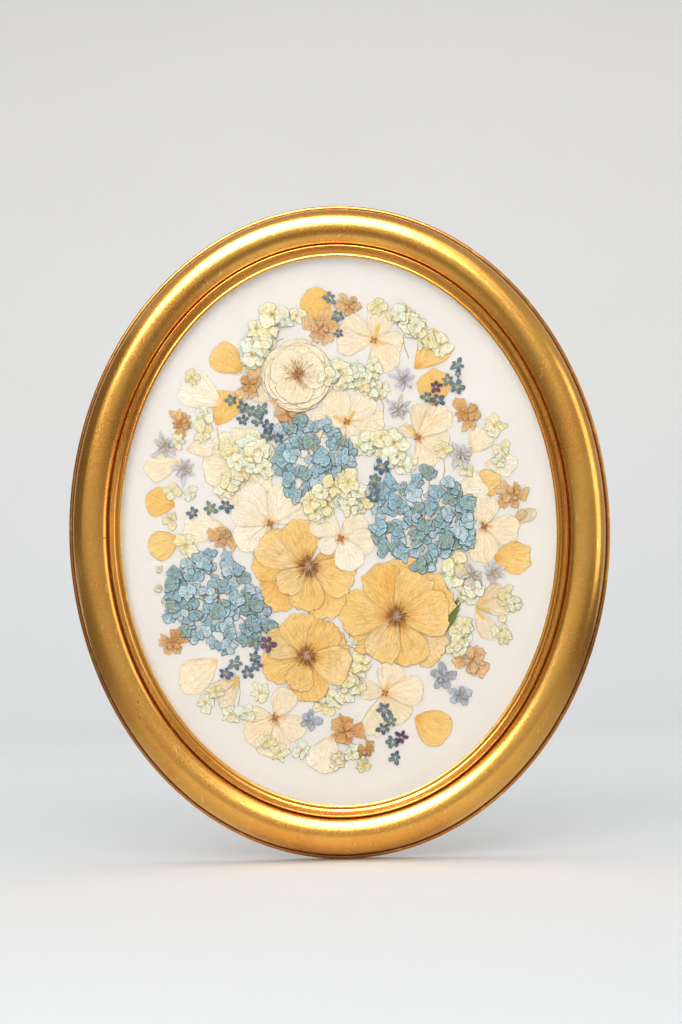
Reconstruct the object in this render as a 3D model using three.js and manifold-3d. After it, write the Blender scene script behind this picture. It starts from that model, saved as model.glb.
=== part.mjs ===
// A picture of pressed flowers under glass, in a gilded oval frame that hangs on a wall.
// Millimetres, +X to the right, +Z up. The picture faces -Y and the wall is the plane Y = 0.
// The origin is the point on the wall where the hanger's middle tooth hangs on its nail.
//
// Flat pieces are drawn in "board" coordinates first: x to the right, y up from the middle of
// the oval, and a height measured from the wall towards the viewer. toRoom() stands them up.
import * as THREE from 'three';
import { mergeVertices } from 'three/addons/utils/BufferGeometryUtils.js';
import Module from 'manifold-3d';

const wasm = await Module();
wasm.setup();

// ---- driving dimensions -------------------------------------------------------------------

const glassWidth = 406; // a 16 by 20 inch oval pane
const glassHeight = 508;
const lipLap = 6; // how far the frame's lip covers the edge of the glass
const mouldingWidth = 49;
const mouldingDepth = 32;
const rebateWidth = 6.4;
const rebateDepth = 19;
const wallGap = 3; // the bumpers and the hanger hold the frame this far off the wall
const fitGap = 0.2; // between one layer of the package and the next
const glassThick = 2;
const spacerThick = 5.5;
const spacerInset = 1.4; // the spacer stays hidden behind the lip
const boardThick = 1.5;
const backingThick = 3;
const ovalSides = 52;

const pointCount = 6;
const pointSize = { length: 15, width: 9, thick: 0.8, fromRim: 0.5 };
const bumper = { radius: 8, angleFromBottom: 36 };
const hanger = { length: 62, height: 15, thick: 1.2, raise: 1.6, tab: 13, teeth: 7, toothDepth: 3 };

const petalThick = 0.5;
const floretThick = 0.55;
const eyeThick = 0.9;
const layerGap = 0.15; // between a petal and what it lies on

// ---- what follows from them ---------------------------------------------------------------

const sightHalfWidth = glassWidth / 2 - lipLap;
const sightHalfHeight = glassHeight / 2 - lipLap;
const mouldingBack = wallGap;
const glassFront = mouldingBack + rebateDepth - fitGap;
const glassBack = glassFront - glassThick;
const spacerFront = glassBack - fitGap;
const spacerBack = spacerFront - spacerThick;
const boardFront = spacerBack - fitGap;
const boardBack = boardFront - boardThick;
const backingFront = boardBack - fitGap;
const backingBack = backingFront - backingThick;
const hangerMiddle = (mouldingWidth + rebateWidth) / 2;
const ovalDrop = sightHalfHeight + hangerMiddle; // from the nail down to the middle of the oval

const { degToRad, euclideanModulo } = THREE.MathUtils;

// ---- solids -------------------------------------------------------------------------------

function toSolid(geometry) {
  const bare = geometry.clone();
  bare.deleteAttribute('normal');
  bare.deleteAttribute('uv');
  const merged = mergeVertices(bare, 1e-4);
  return new wasm.Manifold(new wasm.Mesh({
    numProp: 3,
    vertProperties: new Float32Array(merged.attributes.position.array),
    triVerts: new Uint32Array(merged.index.array),
  }));
}

function fromSolid(solid) {
  const { vertProperties, triVerts } = solid.getMesh();
  const geometry = new THREE.BufferGeometry();
  geometry.setAttribute('position', new THREE.BufferAttribute(new Float32Array(vertProperties), 3));
  geometry.setIndex(new THREE.BufferAttribute(new Uint32Array(triVerts), 1));
  return geometry;
}

// A flat plate with the given outline, from one height to another, in board coordinates.
function plate(outline, back, front) {
  const geometry = new THREE.ExtrudeGeometry(new THREE.Shape(outline), {
    depth: front - back,
    bevelEnabled: false,
  });
  return geometry.translate(0, 0, back);
}

// Board coordinates (x, y, height) stand up as (x, -height, y).
function toRoom(geometry) {
  return geometry.rotateX(Math.PI / 2);
}

// An oval ring or disc turned from a section of [distance outside the sight edge, height] points.
// The section is listed against the clock, with the distance to the right and the height up.
function ovalTurning(section, sides) {
  const meanRadius = (sightHalfWidth + sightHalfHeight) / 2;
  const points = section.map(([out, height]) => new THREE.Vector2(meanRadius + out, -height));
  points.push(points[0].clone());
  const geometry = new THREE.LatheGeometry(points.reverse(), sides);
  const position = geometry.attributes.position;
  for (let i = 0; i < position.count; i += 1) {
    const radius = Math.hypot(position.getX(i), position.getZ(i));
    const out = radius - meanRadius;
    position.setX(i, (position.getX(i) / radius) * (sightHalfWidth + out));
    position.setZ(i, (position.getZ(i) / radius) * (sightHalfHeight + out));
  }
  return geometry;
}

function ovalPlate(out, back, front) {
  const outline = [];
  for (let i = 0; i < ovalSides; i += 1) {
    const turn = (i * 2 * Math.PI) / ovalSides;
    outline.push(new THREE.Vector2(
      (sightHalfWidth + out) * Math.cos(turn),
      (sightHalfHeight + out) * Math.sin(turn),
    ));
  }
  return toRoom(plate(outline, back, front));
}

// Points on a quarter of an ellipse round a centre, from one angle to another in degrees.
function arc(centreOut, centreHeight, reachOut, reachHeight, from, to, steps) {
  const points = [];
  for (let i = 0; i <= steps; i += 1) {
    const angle = degToRad(from + ((to - from) * i) / steps);
    points.push([
      centreOut + reachOut * Math.cos(angle),
      centreHeight + reachHeight * Math.sin(angle),
    ]);
  }
  return points;
}

// ---- the frame ----------------------------------------------------------------------------

const group = new THREE.Group();
const picture = new THREE.Group();
picture.position.set(0, 0, -ovalDrop);
group.add(picture);

function addPiece(name, geometry, color, roughness, metalness = 0, parent = picture) {
  const mesh = new THREE.Mesh(
    geometry,
    new THREE.MeshStandardMaterial({ color, roughness, metalness }),
  );
  mesh.name = name;
  parent.add(mesh);
  return mesh;
}

// The section of the moulding, from the lip outwards: a small bead at the sight edge, a cove,
// a thin fillet, a groove, the big torus, a second groove and a narrow outer band.
function mouldingSection() {
  const torusPeak = { out: 29, height: mouldingDepth };
  const innerGroove = { out: 14.6, height: 23 };
  const outerGroove = { out: 45.6, height: 12 };
  const front = [
    [0, rebateDepth + 0.8],
    [1.4, rebateDepth + 2.4],
    [3.6, rebateDepth + 2],
    [8.6, rebateDepth + 3.4],
    [12.4, rebateDepth + 7.2],
    [13.7, rebateDepth + 7.2],
    [innerGroove.out, innerGroove.height],
    ...arc(torusPeak.out, innerGroove.height + 0.4, torusPeak.out - innerGroove.out - 0.8,
      torusPeak.height - innerGroove.height - 0.4, 180, 90, 3),
    ...arc(torusPeak.out, outerGroove.height + 0.6, outerGroove.out - torusPeak.out - 0.4,
      torusPeak.height - outerGroove.height - 0.6, 90, 0, 3).slice(1),
    [outerGroove.out, outerGroove.height],
    [outerGroove.out + 0.8, outerGroove.height + 1],
    [mouldingWidth - 0.6, outerGroove.height],
    [mouldingWidth, outerGroove.height - 2],
    [mouldingWidth - 1, 0],
  ];
  const back = [
    [rebateWidth, 0],
    [rebateWidth, rebateDepth],
    [0, rebateDepth],
  ];
  return [...front, ...back]
    .map(([out, height]) => [out, height + mouldingBack])
    .reverse();
}

const gold = 0xc98f3c;
addPiece('gilded_moulding', ovalTurning(mouldingSection(), ovalSides), gold, 0.32, 1);
addPiece('glass_pane', ovalPlate(lipLap, glassBack, glassFront), 0xeef4f2, 0.03);
addPiece('mount_board', ovalPlate(lipLap, boardBack, boardFront), 0xf0e6dc, 0.9);
addPiece('backing_board', ovalPlate(lipLap, backingBack, backingFront), 0x8a6441, 0.75);

function spacerSection() {
  return [
    [spacerInset, spacerBack],
    [lipLap - 0.1, spacerBack],
    [lipLap - 0.1, spacerFront],
    [spacerInset, spacerFront],
  ];
}
addPiece('glass_spacer', ovalTurning(spacerSection(), ovalSides), 0xf2ece2, 0.9);

// Flat steel points lie on the backing board and reach to the rebate's wall.
function addRetainingPoints() {
  const { length, width, thick, fromRim } = pointSize;
  const outline = [
    new THREE.Vector2(-length, -width / 2),
    new THREE.Vector2(-length * 0.3, -width / 2),
    new THREE.Vector2(0, -width * 0.2),
    new THREE.Vector2(0, width * 0.2),
    new THREE.Vector2(-length * 0.3, width / 2),
    new THREE.Vector2(-length, width / 2),
  ];
  for (let i = 0; i < pointCount; i += 1) {
    const turn = ((i + 0.5) * 2 * Math.PI) / pointCount;
    const reach = rebateWidth - fromRim;
    const foot = new THREE.Vector2(
      (sightHalfWidth + reach) * Math.cos(turn),
      (sightHalfHeight + reach) * Math.sin(turn),
    );
    const front = backingBack - fitGap;
    const geometry = plate(outline, front - thick, front);
    const outward = Math.atan2(
      Math.sin(turn) / sightHalfHeight,
      Math.cos(turn) / sightHalfWidth,
    );
    geometry.rotateZ(outward).translate(foot.x, foot.y, 0);
    addPiece(`retaining_point_${i + 1}`, toRoom(geometry), 0x9a9a96, 0.4, 1);
  }
}
addRetainingPoints();

// Two rubber bumpers low on the frame's back keep it parallel to the wall.
function addBumpers() {
  for (const [side, name] of [[-1, 'wall_bumper_left'], [1, 'wall_bumper_right']]) {
    const turn = degToRad(bumper.angleFromBottom);
    const disc = new THREE.CylinderGeometry(bumper.radius, bumper.radius, wallGap - fitGap, 20);
    const mesh = addPiece(name, disc, 0x3a3835, 0.8);
    mesh.position.set(
      side * (sightHalfWidth + hangerMiddle) * Math.sin(turn),
      -(wallGap - fitGap) / 2,
      -(sightHalfHeight + hangerMiddle) * Math.cos(turn),
    );
  }
}
addBumpers();

// A sawtooth strip: flat tabs at both ends, a raised middle with teeth along its lower edge.
function sawtoothHanger() {
  const { length, height, thick, raise, tab, teeth, toothDepth } = hanger;
  const back = mouldingBack - fitGap;
  const half = length / 2;
  const slope = 3;
  const bent = [
    [-half, back], [-half + tab, back], [-half + tab + slope, back - raise],
    [half - tab - slope, back - raise], [half - tab, back], [half, back],
    [half, back - thick], [half - tab, back - thick],
    [half - tab - slope, back - raise - thick], [-half + tab + slope, back - raise - thick],
    [-half + tab, back - thick], [-half, back - thick],
  ].map(([x, away]) => new THREE.Vector2(x, -away));
  const strip = toSolid(plate(bent, -2 * height, 2 * height));

  // The middle tooth's notch is at height 0 of the hanger, where the nail carries it.
  const lower = -toothDepth;
  const upper = height - toothDepth;
  const toothed = length - 2 * tab - 2 * slope - 4;
  const pitch = toothed / teeth;
  const edge = [new THREE.Vector2(-half - 1, lower)];
  for (let i = 0; i < teeth; i += 1) {
    const left = -toothed / 2 + i * pitch;
    edge.push(new THREE.Vector2(left, lower));
    edge.push(new THREE.Vector2(left + pitch / 2, 0));
  }
  edge.push(new THREE.Vector2(toothed / 2, lower));
  edge.push(new THREE.Vector2(half + 1, lower));
  edge.push(new THREE.Vector2(half - 4, upper));
  edge.push(new THREE.Vector2(-half + 4, upper));
  const front = toSolid(toRoom(plate(edge, -1, mouldingBack + 1)));
  return fromSolid(strip.intersect(front));
}
addPiece('sawtooth_hanger', sawtoothHanger(), 0xb9a067, 0.35, 1, group);

// ---- the flowers --------------------------------------------------------------------------

// Outline of a flower from the front. Each petal is [direction, reach, half its spread], with
// the angles in degrees against the clock from the right.
function lobedOutline(petals, core, steps) {
  const points = [];
  for (let i = 0; i < steps; i += 1) {
    const direction = (i * 360) / steps;
    let reach = core;
    for (const [axis, length, spread] of petals) {
      const off = Math.abs(euclideanModulo(direction - axis + 180, 360) - 180) / spread;
      if (off < 1) reach = Math.max(reach, length * Math.sqrt(1 - off ** 3));
    }
    const angle = degToRad(direction);
    points.push(new THREE.Vector2(reach * Math.cos(angle), reach * Math.sin(angle)));
  }
  return points;
}

// One loose petal: an egg that is narrow at its base, with its tip towards the direction.
function petalOutline(length, width, direction) {
  const steps = 10;
  const turn = degToRad(direction);
  const points = [];
  for (let i = 0; i < steps; i += 1) {
    const angle = (i * 2 * Math.PI) / steps;
    const along = (length / 2) * Math.cos(angle);
    const across = (width / 2) * Math.sin(angle) * (1 + 0.25 * Math.cos(angle));
    points.push(new THREE.Vector2(
      along * Math.cos(turn) - across * Math.sin(turn),
      along * Math.sin(turn) + across * Math.cos(turn),
    ));
  }
  return points;
}

// Each thing that is laid on the board rests on the highest of the things already under it.
const laidLayers = [];

function restingHeight(outline) {
  const prism = toSolid(plate(outline, 0, 1));
  let height = boardFront + layerGap;
  for (const layer of laidLayers) {
    const onTop = layer.front + layerGap;
    if (onTop > height && prism.intersect(layer.prism).volume() > 0.01) height = onTop;
  }
  return height;
}

function shifted(outline, [x, y]) {
  return outline.map((point) => new THREE.Vector2(point.x + x, point.y + y));
}

// A flower is one solid. Its layers are { outline, thick }, the first one against the board.
function layFlower(name, at, layers, color, roughness = 0.85) {
  const outlines = layers.map((layer) => shifted(layer.outline, layer.at ?? at));
  const base = Math.max(...outlines.map(restingHeight));
  let solid = null;
  layers.forEach((layer, i) => {
    const front = base + layer.thick;
    const body = toSolid(plate(outlines[i], base, front));
    solid = solid ? solid.add(body) : body;
    laidLayers.push({ prism: toSolid(plate(outlines[i], 0, 1)), front });
  });
  addPiece(name, toRoom(fromSolid(solid)), color, roughness);
}

const yellow = 0xecc57c;
const cream = 0xf1dfbe;
const ivory = 0xf0e6c8;
const paleGreen = 0xdfe2c6;
const blue = 0x8fb0c0;

function layPetal(name, at, length, width, direction, color) {
  layFlower(name, at, [{ outline: petalOutline(length, width, direction), thick: petalThick }], color);
}

// A pansy: its petals in one plate and a small raised eye.
function layPansy(name, at, petals, color = ivory) {
  layFlower(name, at, [
    { outline: lobedOutline(petals, 6, 22), thick: petalThick },
    { outline: lobedOutline([], 3, 6), thick: eyeThick },
  ], color);
}

// A rose: an outer and an inner ring of petals and the tuft of stamens.
function layRose(name, at, outer, inner, tuftReach, color) {
  layFlower(name, at, [
    { outline: lobedOutline(outer, 16, 28), thick: petalThick },
    { outline: lobedOutline(inner, 12, 18), thick: 2 * petalThick },
    { outline: lobedOutline([], tuftReach, 8), thick: 3.2 * petalThick },
  ], color);
}

// Florets of four petals that hang together, as they grew. Each is [x, y, reach].
function layCluster(name, florets, color) {
  const layers = florets.map(([x, y, reach], i) => ({
    at: [x, y],
    outline: lobedOutline(
      [0, 1, 2, 3].map((k) => [90 * k + 37 * i, reach, 44]), 0.75 * reach, 8),
    thick: floretThick,
  }));
  layFlower(name, [0, 0], layers, color);
}

// A hydrangea head pressed flat: a scalloped mass of florets with others raised on it.
function layHydrangea(name, at, width, height, raised, turn) {
  const scallops = [];
  const rim = 9;
  for (let i = 0; i < rim; i += 1) {
    const direction = (i * 360) / rim + turn;
    const angle = degToRad(direction);
    const reach = 1 / Math.hypot(Math.cos(angle) * 2 / width, Math.sin(angle) * 2 / height);
    scallops.push([direction, reach * (i % 2 ? 1 : 0.94), 24]);
  }
  const core = 0.43 * Math.min(width, height);
  const layers = [{ outline: lobedOutline(scallops, core, 3 * rim), thick: 2 * floretThick }];
  const goldenTurn = 137.5;
  const floretReach = 0.145 * Math.min(width, height);
  for (let i = 0; i < raised; i += 1) {
    const away = 0.38 * Math.sqrt((i + 0.5) / raised);
    const angle = degToRad(i * goldenTurn + turn);
    layers.push({
      at: [at[0] + away * width * Math.cos(angle), at[1] + away * height * Math.sin(angle)],
      outline: lobedOutline([0, 1, 2, 3].map((k) => [90 * k + 50 * i, floretReach, 44]),
        0.5 * floretReach, 8),
      thick: (2.5 + 0.4 * (i % 3)) * floretThick,
    });
  }
  layFlower(name, at, layers, blue);
}

// A petal fan of a trumpet flower that was pressed on its side.
function layTrumpet(name, at, petals) {
  layFlower(name, at, [{ outline: lobedOutline(petals, 3, 24), thick: petalThick }], cream);
}

// Laid in this order, from the board upwards.
function layLowPieces() {
  layFlower('cream_open_flower', [-88, 60], [
    { outline: lobedOutline([[20, 35, 50], [75, 36, 48], [130, 35, 50], [185, 36, 50], [250, 35, 55],
      [310, 34, 50]], 28, 26), thick: petalThick },
  ], cream);
  layPetal('yellow_petal_1', [-97, 157], 33, 28, 140, yellow);
  layPetal('yellow_petal_2', [-14, 204], 35, 27, 115, yellow);
  layPetal('yellow_petal_3', [87, 159], 42, 28, 45, yellow);
  layPetal('yellow_petal_4', [90, 126], 34, 30, 90, yellow);
  layPetal('yellow_petal_5', [136, 37], 27, 24, 45, yellow);
  layPetal('yellow_petal_6', [80, -179], 34, 31, -30, yellow);
  layPetal('yellow_petal_7', [-162, 28], 29, 26, 170, yellow);
  layPetal('yellow_petal_8', [-159, -9], 29, 26, 200, yellow);
  layPetal('cream_petal_1', [-122, 127], 42, 32, 150, cream);
  layPetal('cream_petal_2', [-69, 124], 21, 17, 140, cream);
  layPetal('cream_petal_3', [-159, 62], 32, 25, 190, ivory);
  layPetal('cream_petal_4', [-125, 78], 27, 18, 8, ivory);
  layPetal('cream_petal_5', [-120, 4], 40, 26, 180, cream);
  layPetal('cream_petal_6', [-128, -127], 42, 30, 215, cream);
  layPetal('cream_petal_7', [-15, -202], 36, 29, 250, cream);
  layPetal('cream_petal_8', [130, 77], 25, 23, 60, cream);
  layPetal('cream_petal_9', [148, 56], 30, 20, -5, ivory);
  layPetal('yellow_petal_9', [-101, 112], 34, 27, 60, yellow);
  layPetal('white_heart_petal', [121, 35], 30, 22, 20, ivory);
  layTrumpet('cream_trumpet_right', [122, -74], [[42, 31, 16], [5, 34, 22], [-62, 31, 26]]);
  layTrumpet('cream_trumpet_left', [-92, -131], [[205, 27, 18], [240, 33, 18], [172, 12, 20]]);
}

function layMiddlePieces() {
  layCluster('pale_hydrangea_on_cream', [[-94, 71, 10], [-82, 77, 10], [-70, 74, 10], [-62, 64, 10],
    [-75, 59, 9], [-87, 54, 9], [-97, 47, 9], [-101, 38, 8]], paleGreen);
  layPansy('cream_pansy_left', [-62, 7], [[122, 41, 26], [56, 40, 34], [24, 45, 24], [210, 37, 34],
    [245, 31, 30], [162, 37, 26]]);
  layPansy('cream_pansy_top', [36, 172], [[149, 33, 34], [70, 31, 36], [-11, 27, 38], [297, 32, 42],
    [184, 35, 28]]);
  layPansy('cream_pansy_upper', [10, 98], [[0, 34, 38], [45, 33, 34], [120, 31, 40], [180, 34, 34],
    [247, 23, 30], [297, 24, 30]]);
  layPansy('cream_pansy_right', [74, 82], [[83, 31, 24], [40, 38, 28], [-11, 30, 34], [301, 29, 38],
    [146, 19, 30]]);
  layCluster('pale_hydrangea_upper_left', [[-56, 198, 9], [-59, 186, 10], [-71, 185, 8],
    [-61, 174, 9], [-73, 173, 9], [-75, 161, 9], [-75, 152, 7]], paleGreen);
  layRose('cream_rose', [-34, 141],
    [[15, 31, 50], [75, 31, 52], [140, 31, 50], [200, 31, 52], [262, 31, 52], [320, 31, 50]],
    [[40, 23, 60], [160, 23, 60], [280, 23, 60]], 5, ivory);
  layCluster('pale_hydrangea_upper_middle', [[-7, 139, 9], [4, 145, 9], [15, 143, 10], [26, 137, 9],
    [36, 143, 9], [31, 127, 8], [43, 128, 9]], paleGreen);
  layCluster('pale_hydrangea_upper_right', [[59, 194, 8], [69, 189, 9], [77, 179, 9], [86, 171, 9],
    [97, 166, 9]], paleGreen);
  layCluster('pale_hydrangea_centre', [[19, 75, 8], [30, 79, 9], [41, 83, 9], [52, 78, 10],
    [44, 69, 8], [55, 65, 8], [61, 55, 10]], paleGreen);
  layHydrangea('blue_hydrangea_top', [-24, 69], 64, 64, 6, 12);
  layHydrangea('blue_hydrangea_left', [-107, -62], 96, 92, 8, 0);
  layPansy('cream_pansy_lower_right', [39, -149], [[75, 29, 38], [6, 35, 34], [307, 31, 34],
    [172, 23, 34], [252, 40, 24]]);
  layCluster('pale_hydrangea_lower_middle', [[19, -122, 9], [12, -131, 9], [15, -143, 9],
    [4, -148, 8], [-7, -153, 8], [-18, -158, 8]], paleGreen);
  layCluster('pale_hydrangea_lower_right', [[104, -46, 11], [115, -51, 8], [111, -63, 8],
    [108, -75, 8], [107, -87, 9], [106, -99, 9], [104, -110, 8]], paleGreen);
  layPansy('cream_pansy_far_right', [132, 0], [[85, 28, 42], [-12, 32, 38], [267, 33, 38]]);
  layPetal('yellow_petal_10', [156, -29], 33, 30, 0, yellow);
}

function layTopPieces() {
  layRose('yellow_rose_right', [51, -80],
    [[28, 53, 34], [78, 52, 32], [108, 49, 32], [174, 51, 34], [205, 48, 30], [245, 44, 34],
      [289, 46, 32], [316, 53, 30], [-8, 49, 28]],
    [[2, 42, 38], [61, 38, 36], [120, 38, 34], [180, 42, 36], [245, 40, 36], [300, 38, 34]], 6.5, yellow);
  layRose('yellow_rose_left', [-28, -33],
    [[103, 44, 32], [152, 52, 34], [176, 51, 28], [214, 50, 34], [268, 44, 34], [297, 50, 28],
      [-18, 43, 34], [18, 38, 30]],
    [[98, 36, 34], [150, 36, 36], [215, 35, 34], [268, 38, 32], [-22, 38, 40]], 7, yellow);
  layRose('yellow_rose_lower', [-31, -114],
    [[107, 39, 36], [47, 37, 36], [20, 39, 26], [-16, 42, 34], [272, 41, 34], [232, 36, 30],
      [196, 41, 34], [153, 41, 28]],
    [[100, 31, 34], [45, 30, 34], [-20, 35, 36], [252, 30, 34], [190, 31, 36]], 6, yellow);
  layPansy('cream_pansy_bottom', [-61, -169], [[60, 29, 36], [-30, 31, 34], [180, 30, 36],
    [222, 33, 30], [265, 37, 38]]);
  layPansy('cream_pansy_middle', [2, -8], [[140, 32, 38], [207, 22, 34], [38, 29, 36],
    [-9, 31, 34], [294, 31, 40]]);
  layCluster('green_hydrangea_centre', [[-24, 27, 9], [-14, 34, 9], [-3, 40, 10], [10, 43, 10],
    [18, 33, 9], [21, 24, 8], [5, 30, 9], [-9, 22, 9], [-20, 16, 8]], paleGreen);
  layHydrangea('blue_hydrangea_right', [77, 8], 94, 92, 8, 20);
}

layLowPieces();
layMiddlePieces();
layTopPieces();

export default group;
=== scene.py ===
import math
import random

import bpy
import numpy as np
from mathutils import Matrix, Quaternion, Vector


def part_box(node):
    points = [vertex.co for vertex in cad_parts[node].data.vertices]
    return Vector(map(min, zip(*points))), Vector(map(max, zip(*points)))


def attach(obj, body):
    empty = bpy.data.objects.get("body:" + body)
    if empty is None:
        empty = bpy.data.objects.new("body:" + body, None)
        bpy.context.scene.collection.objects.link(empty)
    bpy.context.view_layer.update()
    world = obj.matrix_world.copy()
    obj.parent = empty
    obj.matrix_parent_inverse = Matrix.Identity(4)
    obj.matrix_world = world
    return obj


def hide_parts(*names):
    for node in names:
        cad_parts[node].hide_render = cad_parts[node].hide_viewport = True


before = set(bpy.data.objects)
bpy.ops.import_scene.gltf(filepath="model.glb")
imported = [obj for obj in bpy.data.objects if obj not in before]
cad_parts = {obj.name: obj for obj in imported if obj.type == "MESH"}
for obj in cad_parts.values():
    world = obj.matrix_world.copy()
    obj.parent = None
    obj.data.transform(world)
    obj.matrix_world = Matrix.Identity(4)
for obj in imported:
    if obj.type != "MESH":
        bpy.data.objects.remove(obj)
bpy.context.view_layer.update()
print("frame loaded,", len(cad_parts), "nodes")

mm = 0.001

# Places on the board are in millimetres: x to the right and y up from the middle of the oval.
# A height is measured from the wall towards the viewer.
boardLow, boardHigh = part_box("mount_board")
_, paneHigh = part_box("glass_pane")
mouldingLow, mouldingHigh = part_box("gilded_moulding")
ovalMiddle = (boardLow.z + boardHigh.z) / 2 / mm
boardFront = -boardLow.y / mm
paneBack = -paneHigh.y / mm
mouldingBack = -mouldingHigh.y / mm
mouldingFront = -mouldingLow.y / mm


def deselectAll():
    bpy.ops.object.select_all(action="DESELECT")


def takeUp(piece):
    deselectAll()
    piece.select_set(True)
    bpy.context.view_layer.objects.active = piece


def nameNewest(name):
    piece = bpy.context.active_object
    piece.name = name
    piece.data.name = name
    return piece


def applyModifier(piece, kind, **settings):
    takeUp(piece)
    modifier = piece.modifiers.new(kind.title(), kind)
    for key, value in settings.items():
        setattr(modifier, key, value)
    bpy.ops.object.modifier_apply(modifier=modifier.name)


def applyPlace(piece):
    takeUp(piece)
    bpy.ops.object.transform_apply(location=True, rotation=True, scale=True)


def joinPieces(pieces, name):
    deselectAll()
    for piece in pieces:
        piece.select_set(True)
    bpy.context.view_layer.objects.active = pieces[0]
    if len(pieces) > 1:
        bpy.ops.object.join()
    return nameNewest(name)


def smoothFaces(piece, degrees):
    takeUp(piece)
    bpy.ops.object.shade_smooth_by_angle(angle=math.radians(degrees))


def dress(piece, finish, slot, *replaced):
    piece.data.materials.clear()
    piece.data.materials.append(finish)
    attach(piece, "root")
    if replaced:
        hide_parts(*replaced)
    return piece


def newPiece(name, data):
    piece = bpy.data.objects.new(name, data)
    bpy.context.collection.objects.link(piece)
    return piece


def copyPiece(piece):
    # each copy has its own mesh
    copied = piece.copy()
    copied.data = piece.data.copy()
    bpy.context.collection.objects.link(copied)
    return copied


def pointsOf(mesh):
    places = np.empty(len(mesh.vertices) * 3, np.float32)
    mesh.vertices.foreach_get("co", places)
    return places.reshape(-1, 3)


def cornersOf(mesh):
    corners = np.empty(len(mesh.loops), np.int32)
    mesh.loops.foreach_get("vertex_index", corners)
    return corners


def storeOnPoints(mesh, name, values):
    mesh.attributes.new(name, "FLOAT", "POINT").data.foreach_set("value", values.astype(np.float32))


def roomPlace(x, y, height):
    return Vector((x, -height, ovalMiddle + y)) * mm


def outwardAt(azimuth, elevation):
    # the direction from the frame to a viewer or a lamp at these angles, in degrees
    azimuth, elevation = math.radians(azimuth), math.radians(elevation)
    return Vector((math.sin(azimuth) * math.cos(elevation), -math.cos(azimuth) * math.cos(elevation),
                   math.sin(elevation)))


def inTurn(i):
    # numbers between 0 and 1, each well apart from the one before
    return i * 0.618 % 1


def tint(red, green, blue):
    # screen values from 0 to 255 as the linear colour that a shader takes
    linear = [((v / 255 + 0.055) / 1.055) ** 2.4 if v > 10 else v / 255 / 12.92
              for v in (red, green, blue)]
    return (*linear, 1.0)


class Wire:
    # one output of a node; sums written with wires become Math nodes
    def __init__(self, socket):
        self.socket = socket

    @staticmethod
    def add(tree, kind, settings, values, output=0):
        node = tree.nodes.new(kind)
        for key, value in settings.items():
            setattr(node, key, value)
        for key, value in values.items():
            if isinstance(value, Wire):
                tree.links.new(value.socket, node.inputs[key])
            else:
                node.inputs[key].default_value = value
        return Wire(node.outputs[output])

    def math(self, operation, first, second=0.0):
        return Wire.add(self.socket.id_data, "ShaderNodeMath", {"operation": operation},
                        {0: first, 1: second})

    def __add__(self, other):
        return self.math("ADD", self, other)

    __radd__ = __add__

    def __sub__(self, other):
        return self.math("SUBTRACT", self, other)

    def __rsub__(self, other):
        return self.math("SUBTRACT", other, self)

    def __mul__(self, other):
        return self.math("MULTIPLY", self, other)

    __rmul__ = __mul__

    def __truediv__(self, other):
        return self.math("DIVIDE", self, other)

    def __lt__(self, other):
        return self.math("LESS_THAN", self, other)

    def __abs__(self):
        return self.math("ABSOLUTE", self)

    def orMore(self, other):
        return self.math("MAXIMUM", self, other)

    def ease(self, low, high):
        # 0 below low, 1 above high, or the other way round when low is the larger
        return Wire.add(self.socket.id_data, "ShaderNodeMapRange", {"interpolation_type": "SMOOTHSTEP"},
                        {"Value": self, "From Min": low, "From Max": high, "To Min": 0.0, "To Max": 1.0})


def startFinish(name, **constants):
    # constants are named as on the shader, with an underscore for each space
    finish = bpy.data.materials.new(name)
    finish.use_nodes = True
    tree = finish.node_tree
    shader = next(node for node in tree.nodes if node.type == "BSDF_PRINCIPLED")
    for key, value in constants.items():
        shader.inputs[key.replace("_", " ")].default_value = value
    return finish, tree, shader


def feed(shader, name, wire):
    shader.id_data.links.new(wire.socket, shader.inputs[name])


def mixColours(tree, factor, first, second):
    return Wire.add(tree, "ShaderNodeMix", {"data_type": "RGBA"}, {0: factor, 6: first, 7: second}, output=2)


def objectPlace(tree, scale=(1, 1, 1)):
    place = Wire.add(tree, "ShaderNodeTexCoord", {}, {}, output=3)
    if scale == (1, 1, 1):
        return place
    return Wire.add(tree, "ShaderNodeMapping", {}, {"Vector": place, "Scale": scale})


def noiseOn(tree, place, scale, detail=2.0, roughness=0.5, distortion=0.0):
    return Wire.add(tree, "ShaderNodeTexNoise", {},
                    {"Vector": place, "Scale": scale, "Detail": detail, "Roughness": roughness,
                     "Distortion": distortion})


def raiseRelief(tree, height, distance, strength):
    # distance in millimetres
    return Wire.add(tree, "ShaderNodeBump", {},
                    {"Height": height, "Distance": distance * mm, "Strength": strength})


def measureOn(tree, name):
    # a number that was stored on the piece's own points
    return Wire.add(tree, "ShaderNodeAttribute", {"attribute_name": name}, {}, output=2)


def axesOf(tree, place):
    split = Wire.add(tree, "ShaderNodeSeparateXYZ", {}, {"Vector": place})
    return [Wire(output) for output in split.socket.node.outputs]


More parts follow.
